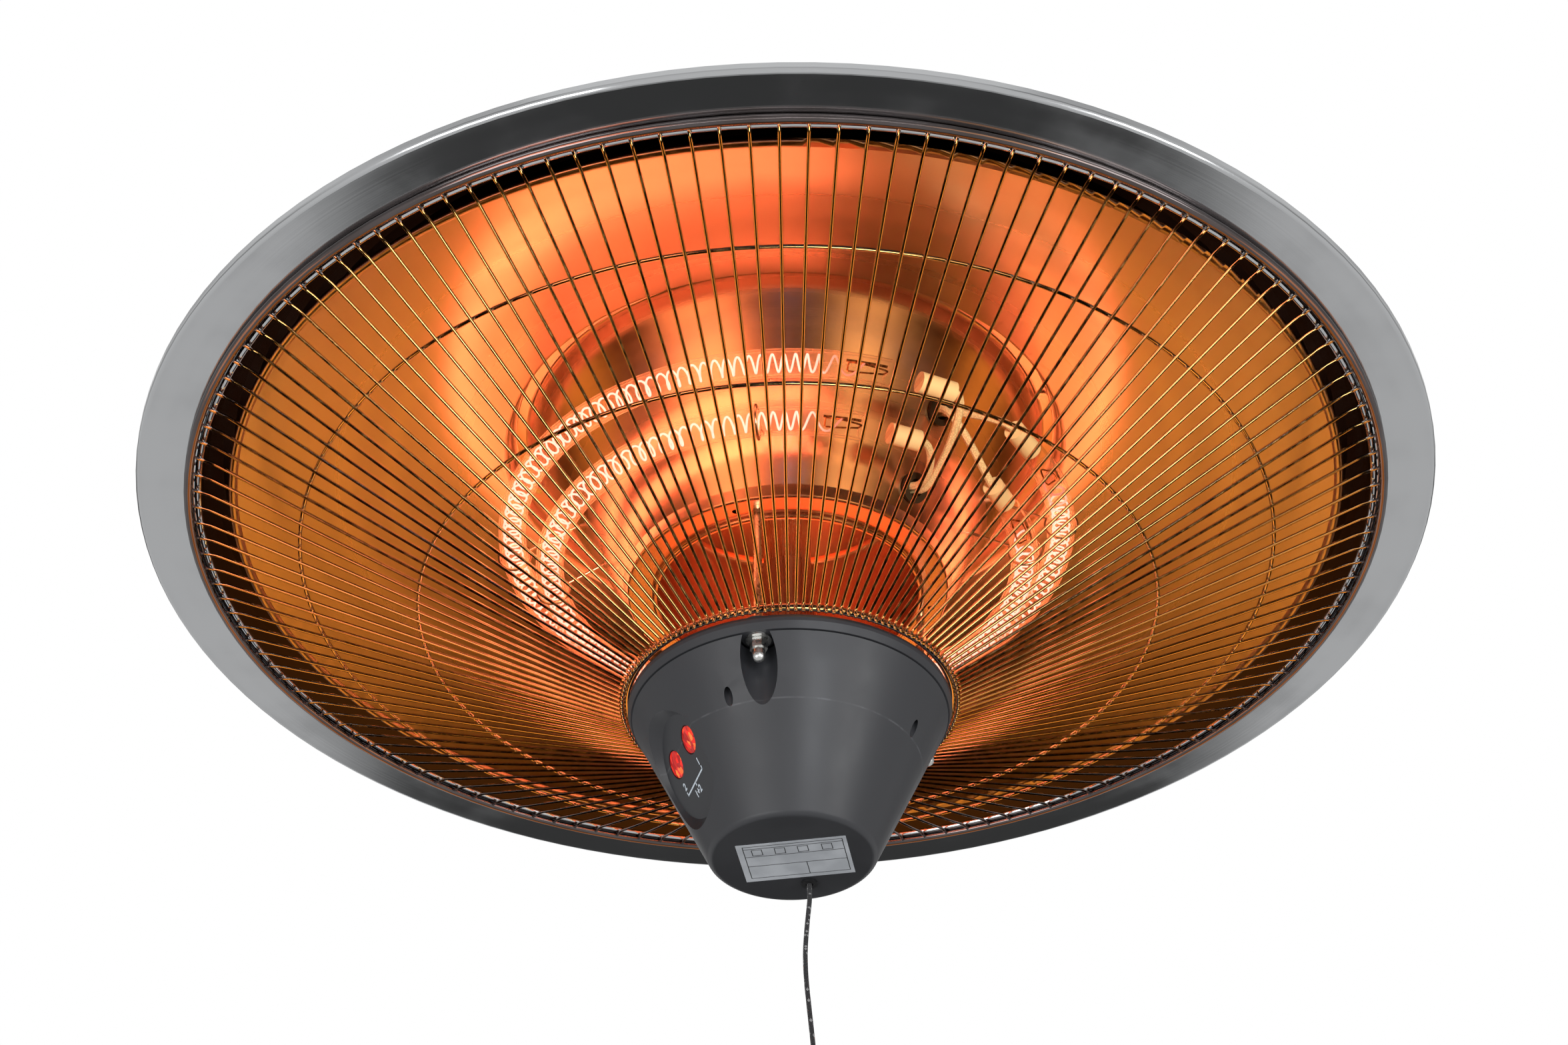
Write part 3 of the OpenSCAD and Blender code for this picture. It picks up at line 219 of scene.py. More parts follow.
def plain_finish(name, colour, roughness, metallic=0.0, **sockets):
    finish = bpy.data.materials.new(name)
    finish.use_nodes = True
    shader = finish.node_tree.nodes["Principled BSDF"]
    shader.inputs["Base Color"].default_value = (*colour, 1)
    shader.inputs["Roughness"].default_value = roughness
    shader.inputs["Metallic"].default_value = metallic
    for socket, value in sockets.items():
        shader.inputs[socket.replace("_", " ")].default_value = value
    return finish, finish.node_tree, shader


floor_half, floor_z = 5, -2.6
floor_mesh = bpy.data.meshes.new("floor")
shape = bmesh.new()
bmesh.ops.create_grid(shape, x_segments=2, y_segments=2, size=floor_half)
bmesh.ops.translate(shape, verts=shape.verts, vec=(0, 0, floor_z))
shape.to_mesh(floor_mesh)
shape.free()
floor = bpy.data.objects.new("floor", floor_mesh)
scene.collection.objects.link(floor)
floor.visible_glossy = False
floor.visible_diffuse = False
floor_finish, tree, shader = plain_finish("pale_floor", (0.86, 0.86, 0.86), 0.9)
floor_mesh.materials.append(floor_finish)
lit_outside.objects.link(floor)


# Shade. One spun sheet of polished stainless steel with a flat brim, an upturned edge
# and a hemmed lip. Spinning leaves faint rings, and handling leaves water marks.
lip_depth = 0.0022
brim_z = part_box("shade")[0].z + lip_depth


def effect_group(name, values, results):
    group = bpy.data.node_groups.new(name, "ShaderNodeTree")
    for socket, kind, value in values:
        made = group.interface.new_socket(socket, in_out="INPUT", socket_type=kind)
        if value is not None:
            made.default_value = value
    for socket, kind in results:
        group.interface.new_socket(socket, in_out="OUTPUT", socket_type=kind)
    return group, group.nodes.new("NodeGroupInput"), group.nodes.new("NodeGroupOutput")


def place_group(tree, group, **values):
    node = tree.nodes.new("ShaderNodeGroup")
    node.node_tree = group
    for socket, value in values.items():
        socket = node.inputs[socket.replace("_", " ")]
        if isinstance(value, bpy.types.NodeSocket):
            tree.links.new(value, socket)
        else:
            socket.default_value = value
    return node


def object_noise(tree, scale, detail=2):
    noise = tree.nodes.new("ShaderNodeTexNoise")
    noise.inputs["Scale"].default_value = scale
    noise.inputs["Detail"].default_value = detail
    tree.links.new(tree.nodes.new("ShaderNodeTexCoord").outputs["Object"], noise.inputs["Vector"])
    return noise.outputs["Fac"]


def bump(tree, shader, height, strength, distance):
    node = tree.nodes.new("ShaderNodeBump")
    node.inputs["Strength"].default_value = strength
    node.inputs["Distance"].default_value = distance
    tree.links.new(height, node.inputs["Height"])
    tree.links.new(node.outputs[0], shader.inputs["Normal"])


def dress(finish, *names):
    for name in names:
        for slot in nodes[name].material_slots:
            slot.material = finish


rings, given, result = effect_group(
    "spun_rings",
    [("Rings", "NodeSocketFloat", 900.0)],
    [("Height", "NodeSocketFloat"), ("Streak", "NodeSocketFloat"), ("Marks", "NodeSocketFloat")],
)
place = rings.nodes.new("ShaderNodeTexCoord").outputs["Object"]
split = rings.nodes.new("ShaderNodeSeparateXYZ")
rings.links.new(place, split.inputs[0])
flat = rings.nodes.new("ShaderNodeCombineXYZ")
rings.links.new(split.outputs["X"], flat.inputs[0])
rings.links.new(split.outputs["Y"], flat.inputs[1])
radius = rings.nodes.new("ShaderNodeVectorMath")
radius.operation = "LENGTH"
rings.links.new(flat.outputs[0], radius.inputs[0])
wall_share = 0.6
up_the_wall = math_node(rings, "MULTIPLY", split.outputs["Z"], wall_share)
reach = math_node(rings, "ADD", radius.outputs["Value"], up_the_wall)
groove = rings.nodes.new("ShaderNodeTexNoise")
groove.noise_dimensions = "1D"
groove.inputs["Detail"].default_value = 4
rings.links.new(reach, groove.inputs["W"])
rings.links.new(given.outputs["Rings"], groove.inputs["Scale"])
rings.links.new(groove.outputs["Fac"], result.inputs["Height"])
streak = rings.nodes.new("ShaderNodeTexNoise")
streak.noise_dimensions = "1D"
streak.inputs["Scale"].default_value = 60
streak.inputs["Detail"].default_value = 2
rings.links.new(reach, streak.inputs["W"])
rings.links.new(streak.outputs["Fac"], result.inputs["Streak"])
rings.links.new(object_noise(rings, 22, detail=7), result.inputs["Marks"])

# The dome's inside is painted dark amber, a painted shade with a painted reflection of the glow in it, and
# its far half gets a faint painted brown glow.
steel_colour, painted_inner_shade, painted_far_glow = (0.60, 0.61, 0.62), (0.05, 0.018, 0.006), (0.040, 0.012, 0.002)
streak_share = 0.35
shade_finish, tree, shader = plain_finish("polished_steel", steel_colour, 0.13, 1.0)
spun = place_group(tree, rings, Rings=700.0)
streaked = math_node(tree, "MULTIPLY", spun.outputs["Streak"], streak_share)
wiped = math_node(tree, "ADD", spun.outputs["Marks"], streaked)
tree.links.new(ramp_node(tree, wiped, 0.5, 0.95, 0.10, 0.21), shader.inputs["Roughness"])
bump(tree, shader, spun.outputs["Height"], 0.12, 0.00004)
inner_span, inner_rise = 0.2707, 0.0855
place = tree.nodes.new("ShaderNodeTexCoord").outputs["Object"]
lifted = tree.nodes.new("ShaderNodeVectorMath")
lifted.operation = "SUBTRACT"
lifted.inputs[1].default_value = (0, 0, brim_z)
tree.links.new(place, lifted.inputs[0])
squeezed = tree.nodes.new("ShaderNodeVectorMath")
squeezed.operation = "MULTIPLY"
squeezed.inputs[1].default_value = (1 / inner_span, 1 / inner_span, 1 / inner_rise)
tree.links.new(lifted.outputs[0], squeezed.inputs[0])
reach = tree.nodes.new("ShaderNodeVectorMath")
reach.operation = "LENGTH"
tree.links.new(squeezed.outputs[0], reach.inputs[0])
split = tree.nodes.new("ShaderNodeSeparateXYZ")
tree.links.new(lifted.outputs[0], split.inputs[0])
# Mask of the painted shade: inside the dome's ellipse and above the brim.
inner = math_node(tree, "MULTIPLY", math_node(tree, "LESS_THAN", reach.outputs["Value"], 1.0),
                  math_node(tree, "GREATER_THAN", split.outputs["Z"], 0.0))
tree.links.new(mix_colours(tree, inner, steel_colour, painted_inner_shade), shader.inputs["Base Color"])
shader.inputs["Emission Strength"].default_value = 1.0
# Painted glow: a faint brown emission on the far half of the dome's inside.
far_side = math_node(tree, "MULTIPLY", inner, ramp_node(tree, split.outputs["Y"], -0.05, 0.2))
tree.links.new(mix_colours(tree, far_side, (0, 0, 0), painted_far_glow), shader.inputs["Emission Color"])
dress(shade_finish, "shade")


# Wiring cap, hanging eye and mains gland, all on the crown. The cap is enamelled steel,
# held by zinc-plated screws, and the gland is black nylon with a rubber seal. Mouldings
# have a fine leather-like grain from their mould, and the enamel has a coarser one.
grain, given, result = effect_group(
    "moulded_grain",
    [("Scale", "NodeSocketFloat", 1500.0)],
    [("Height", "NodeSocketFloat"), ("Gloss", "NodeSocketFloat")],
)
fine = object_noise(grain, 1, detail=3)
grain.links.new(given.outputs["Scale"], fine.node.inputs["Scale"])
grain.links.new(fine, result.inputs["Height"])
grain.links.new(object_noise(grain, 28, detail=4), result.inputs["Gloss"])


def moulded(name, colour, rough_low, rough_high, scale, depth, strength=0.35):
    finish, tree, shader = plain_finish(name, colour, rough_low)
    grained = place_group(tree, grain, Scale=scale)
    tree.links.new(ramp_node(tree, grained.outputs["Gloss"], 0.35, 0.65, rough_low, rough_high),
                   shader.inputs["Roughness"])
    bump(tree, shader, grained.outputs["Height"], strength, depth)
    return finish


cap_finish = moulded("cap_enamel", (0.016, 0.016, 0.018), 0.30, 0.42, 260, 0.00012, 0.2)
dress(cap_finish, "top_cap")
zinc_finish, tree, shader = plain_finish("zinc_plate", (0.62, 0.62, 0.60), 0.28, 1.0)
tarnish = object_noise(tree, 420, detail=5)
tree.links.new(ramp_node(tree, tarnish, 0.3, 0.7, 0.2, 0.4), shader.inputs["Roughness"])
bump(tree, shader, tarnish, 0.15, 0.00005)
dress(zinc_finish, "cap_screws", "cap_nuts", "hanging_eye", "eye_plug")
gland_finish = moulded("gland_nylon", (0.012, 0.012, 0.013), 0.38, 0.5, 700, 0.00008)
dress(gland_finish, "gland_body", "gland_nut")
rubber_finish = moulded("soft_rubber", (0.010, 0.010, 0.010), 0.5, 0.65, 500, 0.0001)
dress(rubber_finish, "gland_seal")


# Central pipe and its lower sleeve. Both are drawn steel tube, so fine lines run along
# them. The pipe joins the dome and the hub with nuts, and the supply lead in its rubber
# sheath runs down through it.
pipe_finish, tree, shader = plain_finish("drawn_tube", (0.62, 0.60, 0.56), 0.3, 1.0)
across_scale, along_scale = 900, 18
stretch = tree.nodes.new("ShaderNodeMapping")
stretch.inputs["Scale"].default_value = (across_scale, across_scale, along_scale)
tree.links.new(tree.nodes.new("ShaderNodeTexCoord").outputs["Object"], stretch.inputs["Vector"])
drawn = object_noise(tree, 1, detail=3)
tree.links.new(stretch.outputs[0], drawn.node.inputs["Vector"])
tree.links.new(ramp_node(tree, drawn, 0.3, 0.7, 0.22, 0.36), shader.inputs["Roughness"])
bump(tree, shader, drawn, 0.1, 0.00005)
dress(pipe_finish, "central_pipe", "lower_sleeve")
dress(zinc_finish, "pipe_nuts")
dress(rubber_finish, "supply_lead")


# Reflector and its hub. Bright aluminium sheet spun on a former, so fine grooves run
# round it and smear every reflection along the radius. The rim is rolled into a bead,
# rivets join the two sheets, and posts hang them from the dome.
for name, node, colour, smooth, rough in (
    ("spun_reflector", "reflector", (0.64, 0.60, 0.56), 0.27, 0.33),
    # The hub's pink tint is partly painted light: the aluminium is neutral, and the tint stands for the
    # filaments' glow on it.
    ("spun_hub", "reflector_hub", (0.78, 0.60, 0.56), 0.22, 0.30),
):
    finish, tree, shader = plain_finish(name, colour, smooth, 1.0, Anisotropic=0.75)
    spun = place_group(tree, rings, Rings=1600.0)
    tree.links.new(ramp_node(tree, spun.outputs["Streak"], 0.3, 0.7, smooth, rough),
                   shader.inputs["Roughness"])
    round_tangent = tree.nodes.new("ShaderNodeTangent")
    round_tangent.direction_type = "RADIAL"
    round_tangent.axis = "Z"
    tree.links.new(round_tangent.outputs[0], shader.inputs["Tangent"])
    bump(tree, shader, spun.outputs["Height"], 0.10, 0.00003)
    dress(finish, node)
dress(zinc_finish, "spacer_posts", "hub_rivets")


# Terminal block, end caps and grommets. The block inside the hub and the caps on the
# tubes' ends are unglazed ceramic. Black rubber grommets line the holes in the hub's cone
# where the heater leads pass through.
ceramic_finish = moulded("raw_ceramic", (0.80, 0.74, 0.62), 0.5, 0.7, 380, 0.00012)
dress(ceramic_finish, "hub_terminal", "end_caps")
dress(rubber_finish, "grommets")


# Heater leads. Nickel wire in a loose white sleeve of braided glass fibre, bent by hand
# from each tube end to a grommet.
sleeve_finish, tree, shader = plain_finish("fibre_sleeve", (0.80, 0.74, 0.62), 0.75, Sheen_Weight=0.2)
place = tree.nodes.new("ShaderNodeTexCoord").outputs["Object"]
loop_scale = 1500
knit = tree.nodes.new("ShaderNodeTexVoronoi")
knit.inputs["Scale"].default_value = loop_scale
tree.links.new(place, knit.inputs["Vector"])
loop_edge = ramp_node(tree, knit.outputs["Distance"], 0.2, 0.7)
sleeve_colour = mix_colours(tree, loop_edge, (0.84, 0.79, 0.68), (0.62, 0.56, 0.46))
tree.links.new(sleeve_colour, shader.inputs["Base Color"])
bump(tree, shader, knit.outputs["Distance"], 0.5, 0.0002)
dress(sleeve_finish, "heater_leads")


# Quartz tubes. Each is clear drawn silica, bent into an open ring and pinched flat at
# both ends. Seen square on it is almost invisible, and its edges shine.
glass_finish, tree, shader = plain_finish("clear_quartz", (0.98, 0.99, 1.0), 0.03, 0.0)
edge = tree.nodes.new("ShaderNodeLayerWeight")
edge.inputs["Blend"].default_value = 0.35
tree.links.new(ramp_node(tree, edge.outputs["Facing"], 0.25, 1.0, 0.05, 0.65), shader.inputs["Alpha"])
dress(glass_finish, "outer_tube", "inner_tube")


# Filaments. One long helix of resistance wire in each ring tube, white-hot along its
# whole winding and cooler at the last turns, which stretch out to plain leads. A hairpin
# of oxidised wire lies beside each end of the two windings.
def tube_curve(name, route, radius, resolution):
    curve = bpy.data.curves.new(name, "CURVE")
    curve.dimensions = "3D"
    curve.bevel_depth = radius
    curve.bevel_resolution = resolution
    curve.use_fill_caps = True
    spline = curve.splines.new("POLY")
    spline.points.add(len(route) - 1)
    for point, place in zip(spline.points, route):
        point.co = (*place, 1)
    piece = bpy.data.objects.new(name, curve)
    scene.collection.objects.link(piece)
    return piece


def ring_point(r, azimuth, z):
    a = math.radians(azimuth)
    return Vector((r * math.sin(a), -r * math.cos(a), z))


def winding_route(r, z, start, end, turns, coil_r, per_turn=16, loose_turns=1.5, stretch_share=0.9):
    route = []
    pitch = (end - start) / turns
    for i in range(turns * per_turn + 1):
        near_end = max(0, loose_turns - min(i, turns * per_turn - i) / per_turn)
        stretch = stretch_share * pitch * near_end * near_end * (-1 if i < turns * per_turn / 2 else 1)
        azimuth = start + (end - start) * i / (turns * per_turn) + stretch
        phase = 2 * math.pi * i / per_turn
        route.append(ring_point(r + coil_r * math.cos(phase), azimuth, z + coil_r * math.sin(phase)))
    return route


def meshed(piece):
    mesh = bpy.data.meshes.new_from_object(piece)
    made = bpy.data.objects.new(piece.name + "_mesh", mesh)
    scene.collection.objects.link(made)
    old = piece.data
    name = piece.name
    bpy.data.objects.remove(piece)
    bpy.data.curves.remove(old)
    made.name = name
    mesh.name = name
    return made


hot_finish, tree, shader = plain_finish("hot_wire", (0.25, 0.10, 0.06), 0.6, 0.0, Emission_Strength=15.0)
place = tree.nodes.new("ShaderNodeTexCoord").outputs["Object"]
split = tree.nodes.new("ShaderNodeSeparateXYZ")
tree.links.new(place, split.inputs[0])
turned = math_node(tree, "ARCTAN2", split.outputs["X"],
                   math_node(tree, "MULTIPLY", split.outputs["Y"], -1.0))
gap_middle, cool_until, hot_from = math.radians(42.5), math.radians(30.5), math.radians(39)
from_gap = math_node(tree, "ABSOLUTE", math_node(tree, "SUBTRACT", turned, gap_middle))
heat = ramp_node(tree, from_gap, cool_until, hot_from)
seen_colour = mix_colours(tree, heat, (0.054, 0.017, 0.011), (0.102, 0.063, 0.049))
seen = tree.nodes.new("ShaderNodeLightPath").outputs["Is Camera Ray"]
tree.links.new(mix_colours(tree, seen, (0.8, 0.15, 0.05), seen_colour), shader.inputs["Emission Color"])

outer_r, outer_drop, inner_r, inner_drop = 0.128, -0.0024, 0.110, -0.0200
turn_r, hot_wire_r = 0.0039, 0.0005
for name, node, r, drop, start, end, turns in (
    ("outer_winding", "outer_filament", outer_r, outer_drop, 73, 371, 133),
    ("inner_winding", "inner_filament", inner_r, inner_drop, 81.5, 367.5, 110),
):
    route = winding_route(r, brim_z + drop, start, end, turns, turn_r)
    winding = meshed(tube_curve(name, route, hot_wire_r, 1))
    winding.data.materials.append(hot_finish)
    lit_inside.objects.link(winding)
    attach(winding, "heater")
    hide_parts(node)

lead_finish, tree, shader = plain_finish("oxidised_wire", (0.20, 0.11, 0.07), 0.45, 1.0)
stain = ramp_node(tree, object_noise(tree, 700), 0.4, 0.6)
lead_colour = mix_colours(tree, stain, (0.10, 0.045, 0.025), (0.42, 0.26, 0.13))
tree.links.new(lead_colour, shader.inputs["Base Color"])
dress(lead_finish, "filament_leads")
hairpin_half, hairpin_wire, hairpin_twist, hairpin_points, straight_share = 0.0026, 0.00042, 0.0008, 32, 1.6
for i, (r, drop, near, far) in enumerate((
    (outer_r, outer_drop, 12.6, 20.4), (outer_r, outer_drop, 71.6, 67.2),
    (inner_r, inner_drop, 9.2, 17.4), (inner_r, inner_drop, 79.8, 71.2),
)):
    route = []
    for k in range(hairpin_points + 1):
        turn = 2 * math.pi * k / hairpin_points
        reach = 0.5 + 0.5 * max(-1, min(1, straight_share * math.cos(turn)))
        route.append(ring_point(r + hairpin_half * math.sin(turn), far + (near - far) * reach,
                                brim_z + drop + hairpin_twist * math.sin(2 * turn)))
    hairpin = meshed(tube_curve("lead_hairpin_%d" % (i + 1), route, hairpin_wire, 2))
    hairpin.data.materials.append(lead_finish)
    lit_inside.objects.link(hairpin)
    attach(hairpin, "heater")


# Tube supports. Each is a length of bright spring wire, looped round a tube and hooked
# to the hub.
clip_finish, tree, shader = plain_finish("spring_wire", (0.55, 0.50, 0.46), 0.28, 1.0)
dress(clip_finish, "tube_supports")


# Grille. Chrome-plated steel rods and wires, welded where they cross. The outer ring's chrome
# is painted dark, a painted shade for the dark surroundings it mirrors, and 144 radial wires
# run from its inner side to the inner ring, where they bend down.
chrome_finish, tree, shader = plain_finish("chrome_wire", (0.66, 0.65, 0.64), 0.14, 1.0)
plating = object_noise(tree, 240, detail=3)
tree.links.new(ramp_node(tree, plating, 0.35, 0.7, 0.10, 0.22), shader.inputs["Roughness"])
dress(chrome_finish, "grille_mid_ring_1", "grille_mid_ring_2", "grille_inner_ring")
# The outer ring's colour is painted shade all round, standing for the dark surroundings it mirrors, with
# random darker and lighter patches.
shaded_ring_finish, tree, shader = plain_finish("shaded_chrome", (0.12, 0.10, 0.10), 0.14, 1.0)
painted_ring_shade = mix_colours(tree, object_noise(tree, 35), (0.08, 0.065, 0.06), (0.17, 0.15, 0.15))
tree.links.new(painted_ring_shade, shader.inputs["Base Color"])
dress(shaded_ring_finish, "grille_outer_ring")
wire_count, wire_radius, wire_sides = 144, 0.00075, 10
wire_route = [
    (0.27425, -0.0028), (0.2690, -0.0041), (0.2662, -0.0048), (0.2640, -0.0057), (0.1700, -0.04943),
    (0.0770, -0.0927), (0.0758, -0.0935), (0.0755, -0.0947), (0.0755, -0.0970),
]
wires = bmesh.new()
rim = bmesh.ops.create_circle(wires, cap_ends=False, segments=wire_sides, radius=wire_radius)["verts"]
first_place = Matrix.Translation((0, -wire_route[0][0], brim_z + wire_route[0][1]))
bmesh.ops.transform(wires, verts=rim, matrix=first_place @ Matrix.Rotation(math.radians(90), 4, "X"))
edges = list({edge for vert in rim for edge in vert.link_edges})
bmesh.ops.contextual_create(wires, geom=edges)
turned_by = 0.0
for i in range(1, len(wire_route)):
    made = bmesh.ops.extrude_edge_only(wires, edges=edges)["geom"]
    rim = [part for part in made if isinstance(part, bmesh.types.BMVert)]
    edges = [part for part in made if isinstance(part, bmesh.types.BMEdge)]
    here, before = wire_route[i], wire_route[i - 1]
    after = wire_route[min(i + 1, len(wire_route) - 1)]
    slope = math.atan2(before[1] - after[1], before[0] - after[0])
    middle = sum((vert.co for vert in rim), Vector()) / len(rim)
    bmesh.ops.transform(wires, verts=rim, matrix=Matrix.Translation((0, -here[0], brim_z + here[1]))
                        @ Matrix.Rotation(turned_by - slope, 4, "X") @ Matrix.Translation(-middle))
    turned_by = slope
bmesh.ops.contextual_create(wires, geom=edges)
bmesh.ops.recalc_face_normals(wires, faces=wires.faces)
for face in wires.faces:
    face.smooth = True
bmesh.ops.spin(wires, geom=list(wires.verts) + list(wires.edges) + list(wires.faces), cent=(0, 0, 0),
               axis=(0, 0, 1), angle=2 * math.pi * (wire_count - 1) / wire_count, steps=wire_count - 1,
               use_duplicate=True)
wire_mesh = bpy.data.meshes.new("radial_wires")
wires.to_mesh(wire_mesh)
wires.free()
wire_mesh.materials.append(chrome_finish)
radial_wires = bpy.data.objects.new("radial_wires", wire_mesh)
scene.collection.objects.link(radial_wires)
lit_inside.objects.link(radial_wires)
lit_wires.objects.link(radial_wires)
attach(radial_wires, "heater")
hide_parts("grille_wires")


# Switch housing. Two dark mouldings with a fine satin grain, the collar and the cone. A
# faint scuffed line runs round the cone where its mould parts. Three tie rods hang the
# housing from the hub, and acorn nuts close their lower ends.
housing_colour, scuff_colour = (0.030, 0.031, 0.035), (0.078, 0.079, 0.086)
housing_finish = moulded("housing_plastic", housing_colour, 0.36, 0.46, 1500, 0.00006, 0.3)
tree = housing_finish.node_tree
place = tree.nodes.new("ShaderNodeTexCoord").outputs["Object"]
split = tree.nodes.new("ShaderNodeSeparateXYZ")
tree.links.new(place, split.inputs[0])
parting_drop = 0.1297
parting_z = brim_z - parting_drop
off_line = math_node(tree, "ABSOLUTE", math_node(tree, "SUBTRACT", split.outputs["Z"], parting_z))
worn = math_node(tree, "MULTIPLY", ramp_node(tree, off_line, 0.0001, 0.0005, 1.0, 0.0),
                 ramp_node(tree, object_noise(tree, 160, detail=5), 0.38, 0.62, 0.15, 0.8))
tree.links.new(mix_colours(tree, worn, housing_colour, scuff_colour),
               tree.nodes["Principled BSDF"].inputs["Base Color"])
dress(housing_finish, "housing_collar", "housing_cone")
dress(zinc_finish, "tie_rods", "rod_nuts", "tie_washers", "acorn_nuts", "housing_screws")


# Pilot lamps. Clear red mouldings with prisms on their inner side, over small neon
# lamps. Beside them plain numbers and a bracket are printed on the facet in grey ink.
lens_finish, tree, shader = plain_finish("red_lens", (0.25, 0.002, 0.002), 0.12, 0.0,
                                         Specular_IOR_Level=0.25, Coat_Weight=0.25, Emission_Strength=1.0)
place = tree.nodes.new("ShaderNodeTexCoord").outputs["Object"]
prism_across, prism_along, prism_lean = 620, 170, (0.5, 0.2, 0)
stretch = tree.nodes.new("ShaderNodeMapping")
stretch.inputs["Rotation"].default_value = prism_lean
stretch.inputs["Scale"].default_value = (prism_across, prism_across, prism_along)
tree.links.new(place, stretch.inputs["Vector"])
prism = tree.nodes.new("ShaderNodeTexVoronoi")
prism.inputs["Scale"].default_value = 1.0
tree.links.new(stretch.outputs[0], prism.inputs["Vector"])
facet_tone = tree.nodes.new("ShaderNodeSeparateXYZ")
tree.links.new(prism.outputs["Color"], facet_tone.inputs[0])
depth_share = ramp_node(tree, facet_tone.outputs["X"], 0.2, 0.8)
deep = mix_colours(tree, depth_share, (0.26, 0.003, 0.002), (0.80, 0.022, 0.010))
glint = ramp_node(tree, facet_tone.outputs["Y"], 0.72, 0.95)
tree.links.new(mix_colours(tree, glint, deep, (1.0, 0.24, 0.04)), shader.inputs["Emission Color"])
bump(tree, shader, prism.outputs["Distance"], 0.5, 0.0006)
dress(lens_finish, "pilot_lens_1", "pilot_lens_2")

facet_turn, facet_tilt = math.radians(-73), math.radians(25.66)
facet_radius, facet_drop, facet_depth, ink_lift = 0.05451, 0.137, 0.0052, 0.00004
on_facet = (Matrix.Rotation(facet_turn, 4, "Z") @ Matrix.Translation((0, -facet_radius, brim_z - facet_drop))
            @ Matrix.Rotation(math.radians(90) + facet_tilt, 4, "X")
            @ Matrix.Translation((0, 0, ink_lift - facet_depth)))


def printed_bar(shape, a, b, width):
    a, b = Vector((*a, 0)), Vector((*b, 0))
    run = b - a
    made = bmesh.ops.create_grid(shape, x_segments=1, y_segments=1, size=0.5)
    turn = Matrix.Rotation(math.atan2(run.y, run.x), 4, "Z")
    spread = Matrix.Diagonal((run.length + width, width, 1, 1))
    bmesh.ops.transform(shape, matrix=Matrix.Translation((a + b) / 2) @ turn @ spread, verts=made["verts"])


def printed_number(shape, words, place, height, capital_share=0.72, thicken=0.00016):
    letters = bpy.data.curves.new("number", "FONT")
    letters.body = words
    letters.size = height / capital_share
    letters.offset = thicken
    letters.align_x = "CENTER"
    letters.align_y = "CENTER"
    number = bpy.data.objects.new("number", letters)
    mesh = bpy.data.meshes.new_from_object(number)
    mesh.transform(Matrix.Translation((*place, 0)))
    shape.from_mesh(mesh)
    bpy.data.objects.remove(number)
    bpy.data.curves.remove(letters)
    bpy.data.meshes.remove(mesh)


def printed_piece(name, shape, where, finish):
    shape.transform(where)
    mesh = bpy.data.meshes.new(name)
    shape.to_mesh(mesh)
    shape.free()
    mesh.materials.append(finish)
    piece = bpy.data.objects.new(name, mesh)
    scene.collection.objects.link(piece)
    lit_outside.objects.link(piece)
    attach(piece, "heater")


def ink(name, thin, full):
    finish, tree, shader = plain_finish(name, full, 0.55)
    dots = ramp_node(tree, object_noise(tree, 2600), 0.3, 0.5)
    tree.links.new(mix_colours(tree, dots, thin, full), shader.inputs["Base Color"])
    return finish


bracket_left, bracket_right, bracket_row = -0.0074, 0.0152, -0.0118
bracket_middle = (bracket_left + bracket_right) / 2
end_row, stem_row, bar_width, number_height = -0.0106, -0.0132, 0.0008, 0.0034
marks = bmesh.new()
printed_bar(marks, (bracket_right, bracket_row), (bracket_left, bracket_row), bar_width)
for x, row in ((bracket_right, end_row), (bracket_left, end_row), (bracket_middle, stem_row)):
    printed_bar(marks, (x, bracket_row), (x, row), bar_width)
for words, place in (("1", (0.0148, -0.0079)), ("2", (-0.0068, -0.0078)), ("1+2", (0.003, -0.0160))):
    printed_number(marks, words, place, number_height)
grey_ink = ink("grey_ink", (0.46, 0.52, 0.58), (0.60, 0.67, 0.74))
printed_piece("facet_marks", marks, on_facet, grey_ink)
lamp_finish = moulded("lamp_plastic", (0.78, 0.78, 0.76), 0.3, 0.4, 300, 0.00005)
dress(lamp_finish, "lamp_bodies")


# Rating plate. A matt silver film under the housing's floor, a little turned, with a
# plain printed frame, four empty boxes and no words.
plate_finish, tree, shader = plain_finish("silver_film", (0.62, 0.65, 0.69), 0.34, 0.35)
film = object_noise(tree, 90, detail=6)
tree.links.new(mix_colours(tree, ramp_node(tree, film, 0.35, 0.7), (0.60, 0.63, 0.67), (0.67, 0.70, 0.74)),
               shader.inputs["Base Color"])
tree.links.new(ramp_node(tree, film, 0.3, 0.7, 0.28, 0.40), shader.inputs["Roughness"])
dress(plate_finish, "rating_label")
frame_left, frame_right, frame_front, frame_back = -0.0212, 0.0222, -0.0135, 0.0125
rows = (frame_front, -0.0116, -0.0052, 0.0026, frame_back)
rule_width, box_line, divider, film_lift = 0.00036, 0.00035, 0.0045, 0.00003
rules = bmesh.new()
for row in rows:
    printed_bar(rules, (frame_left, row), (frame_right, row), rule_width)
for x in (frame_left, frame_right):
    printed_bar(rules, (x, frame_front), (x, frame_back), rule_width)
printed_bar(rules, (divider, rows[3]), (divider, frame_back), rule_width)
box_half, box_mid = 0.0022, (rows[1] + rows[2]) / 2
for x in (-0.0155, -0.0055, divider, 0.0150):
    corners = [(x - box_half, box_mid - box_half), (x + box_half, box_mid - box_half),
               (x + box_half, box_mid + box_half), (x - box_half, box_mid + box_half)]
    for a, b in zip(corners, corners[1:] + corners[:1]):
        printed_bar(rules, a, b, box_line)
plate_low, plate_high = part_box("rating_label")
plate_mid = (plate_low + plate_high) / 2
plate_turn = math.radians(-8.4)
under_plate = (Matrix.Translation((plate_mid.x, plate_mid.y, plate_low.z - film_lift))
               @ Matrix.Rotation(plate_turn, 4, "Z"))
black_ink = ink("black_ink", (0.05, 0.05, 0.055), (0.02, 0.02, 0.022))
printed_piece("plate_rules", rules, under_plate, black_ink)


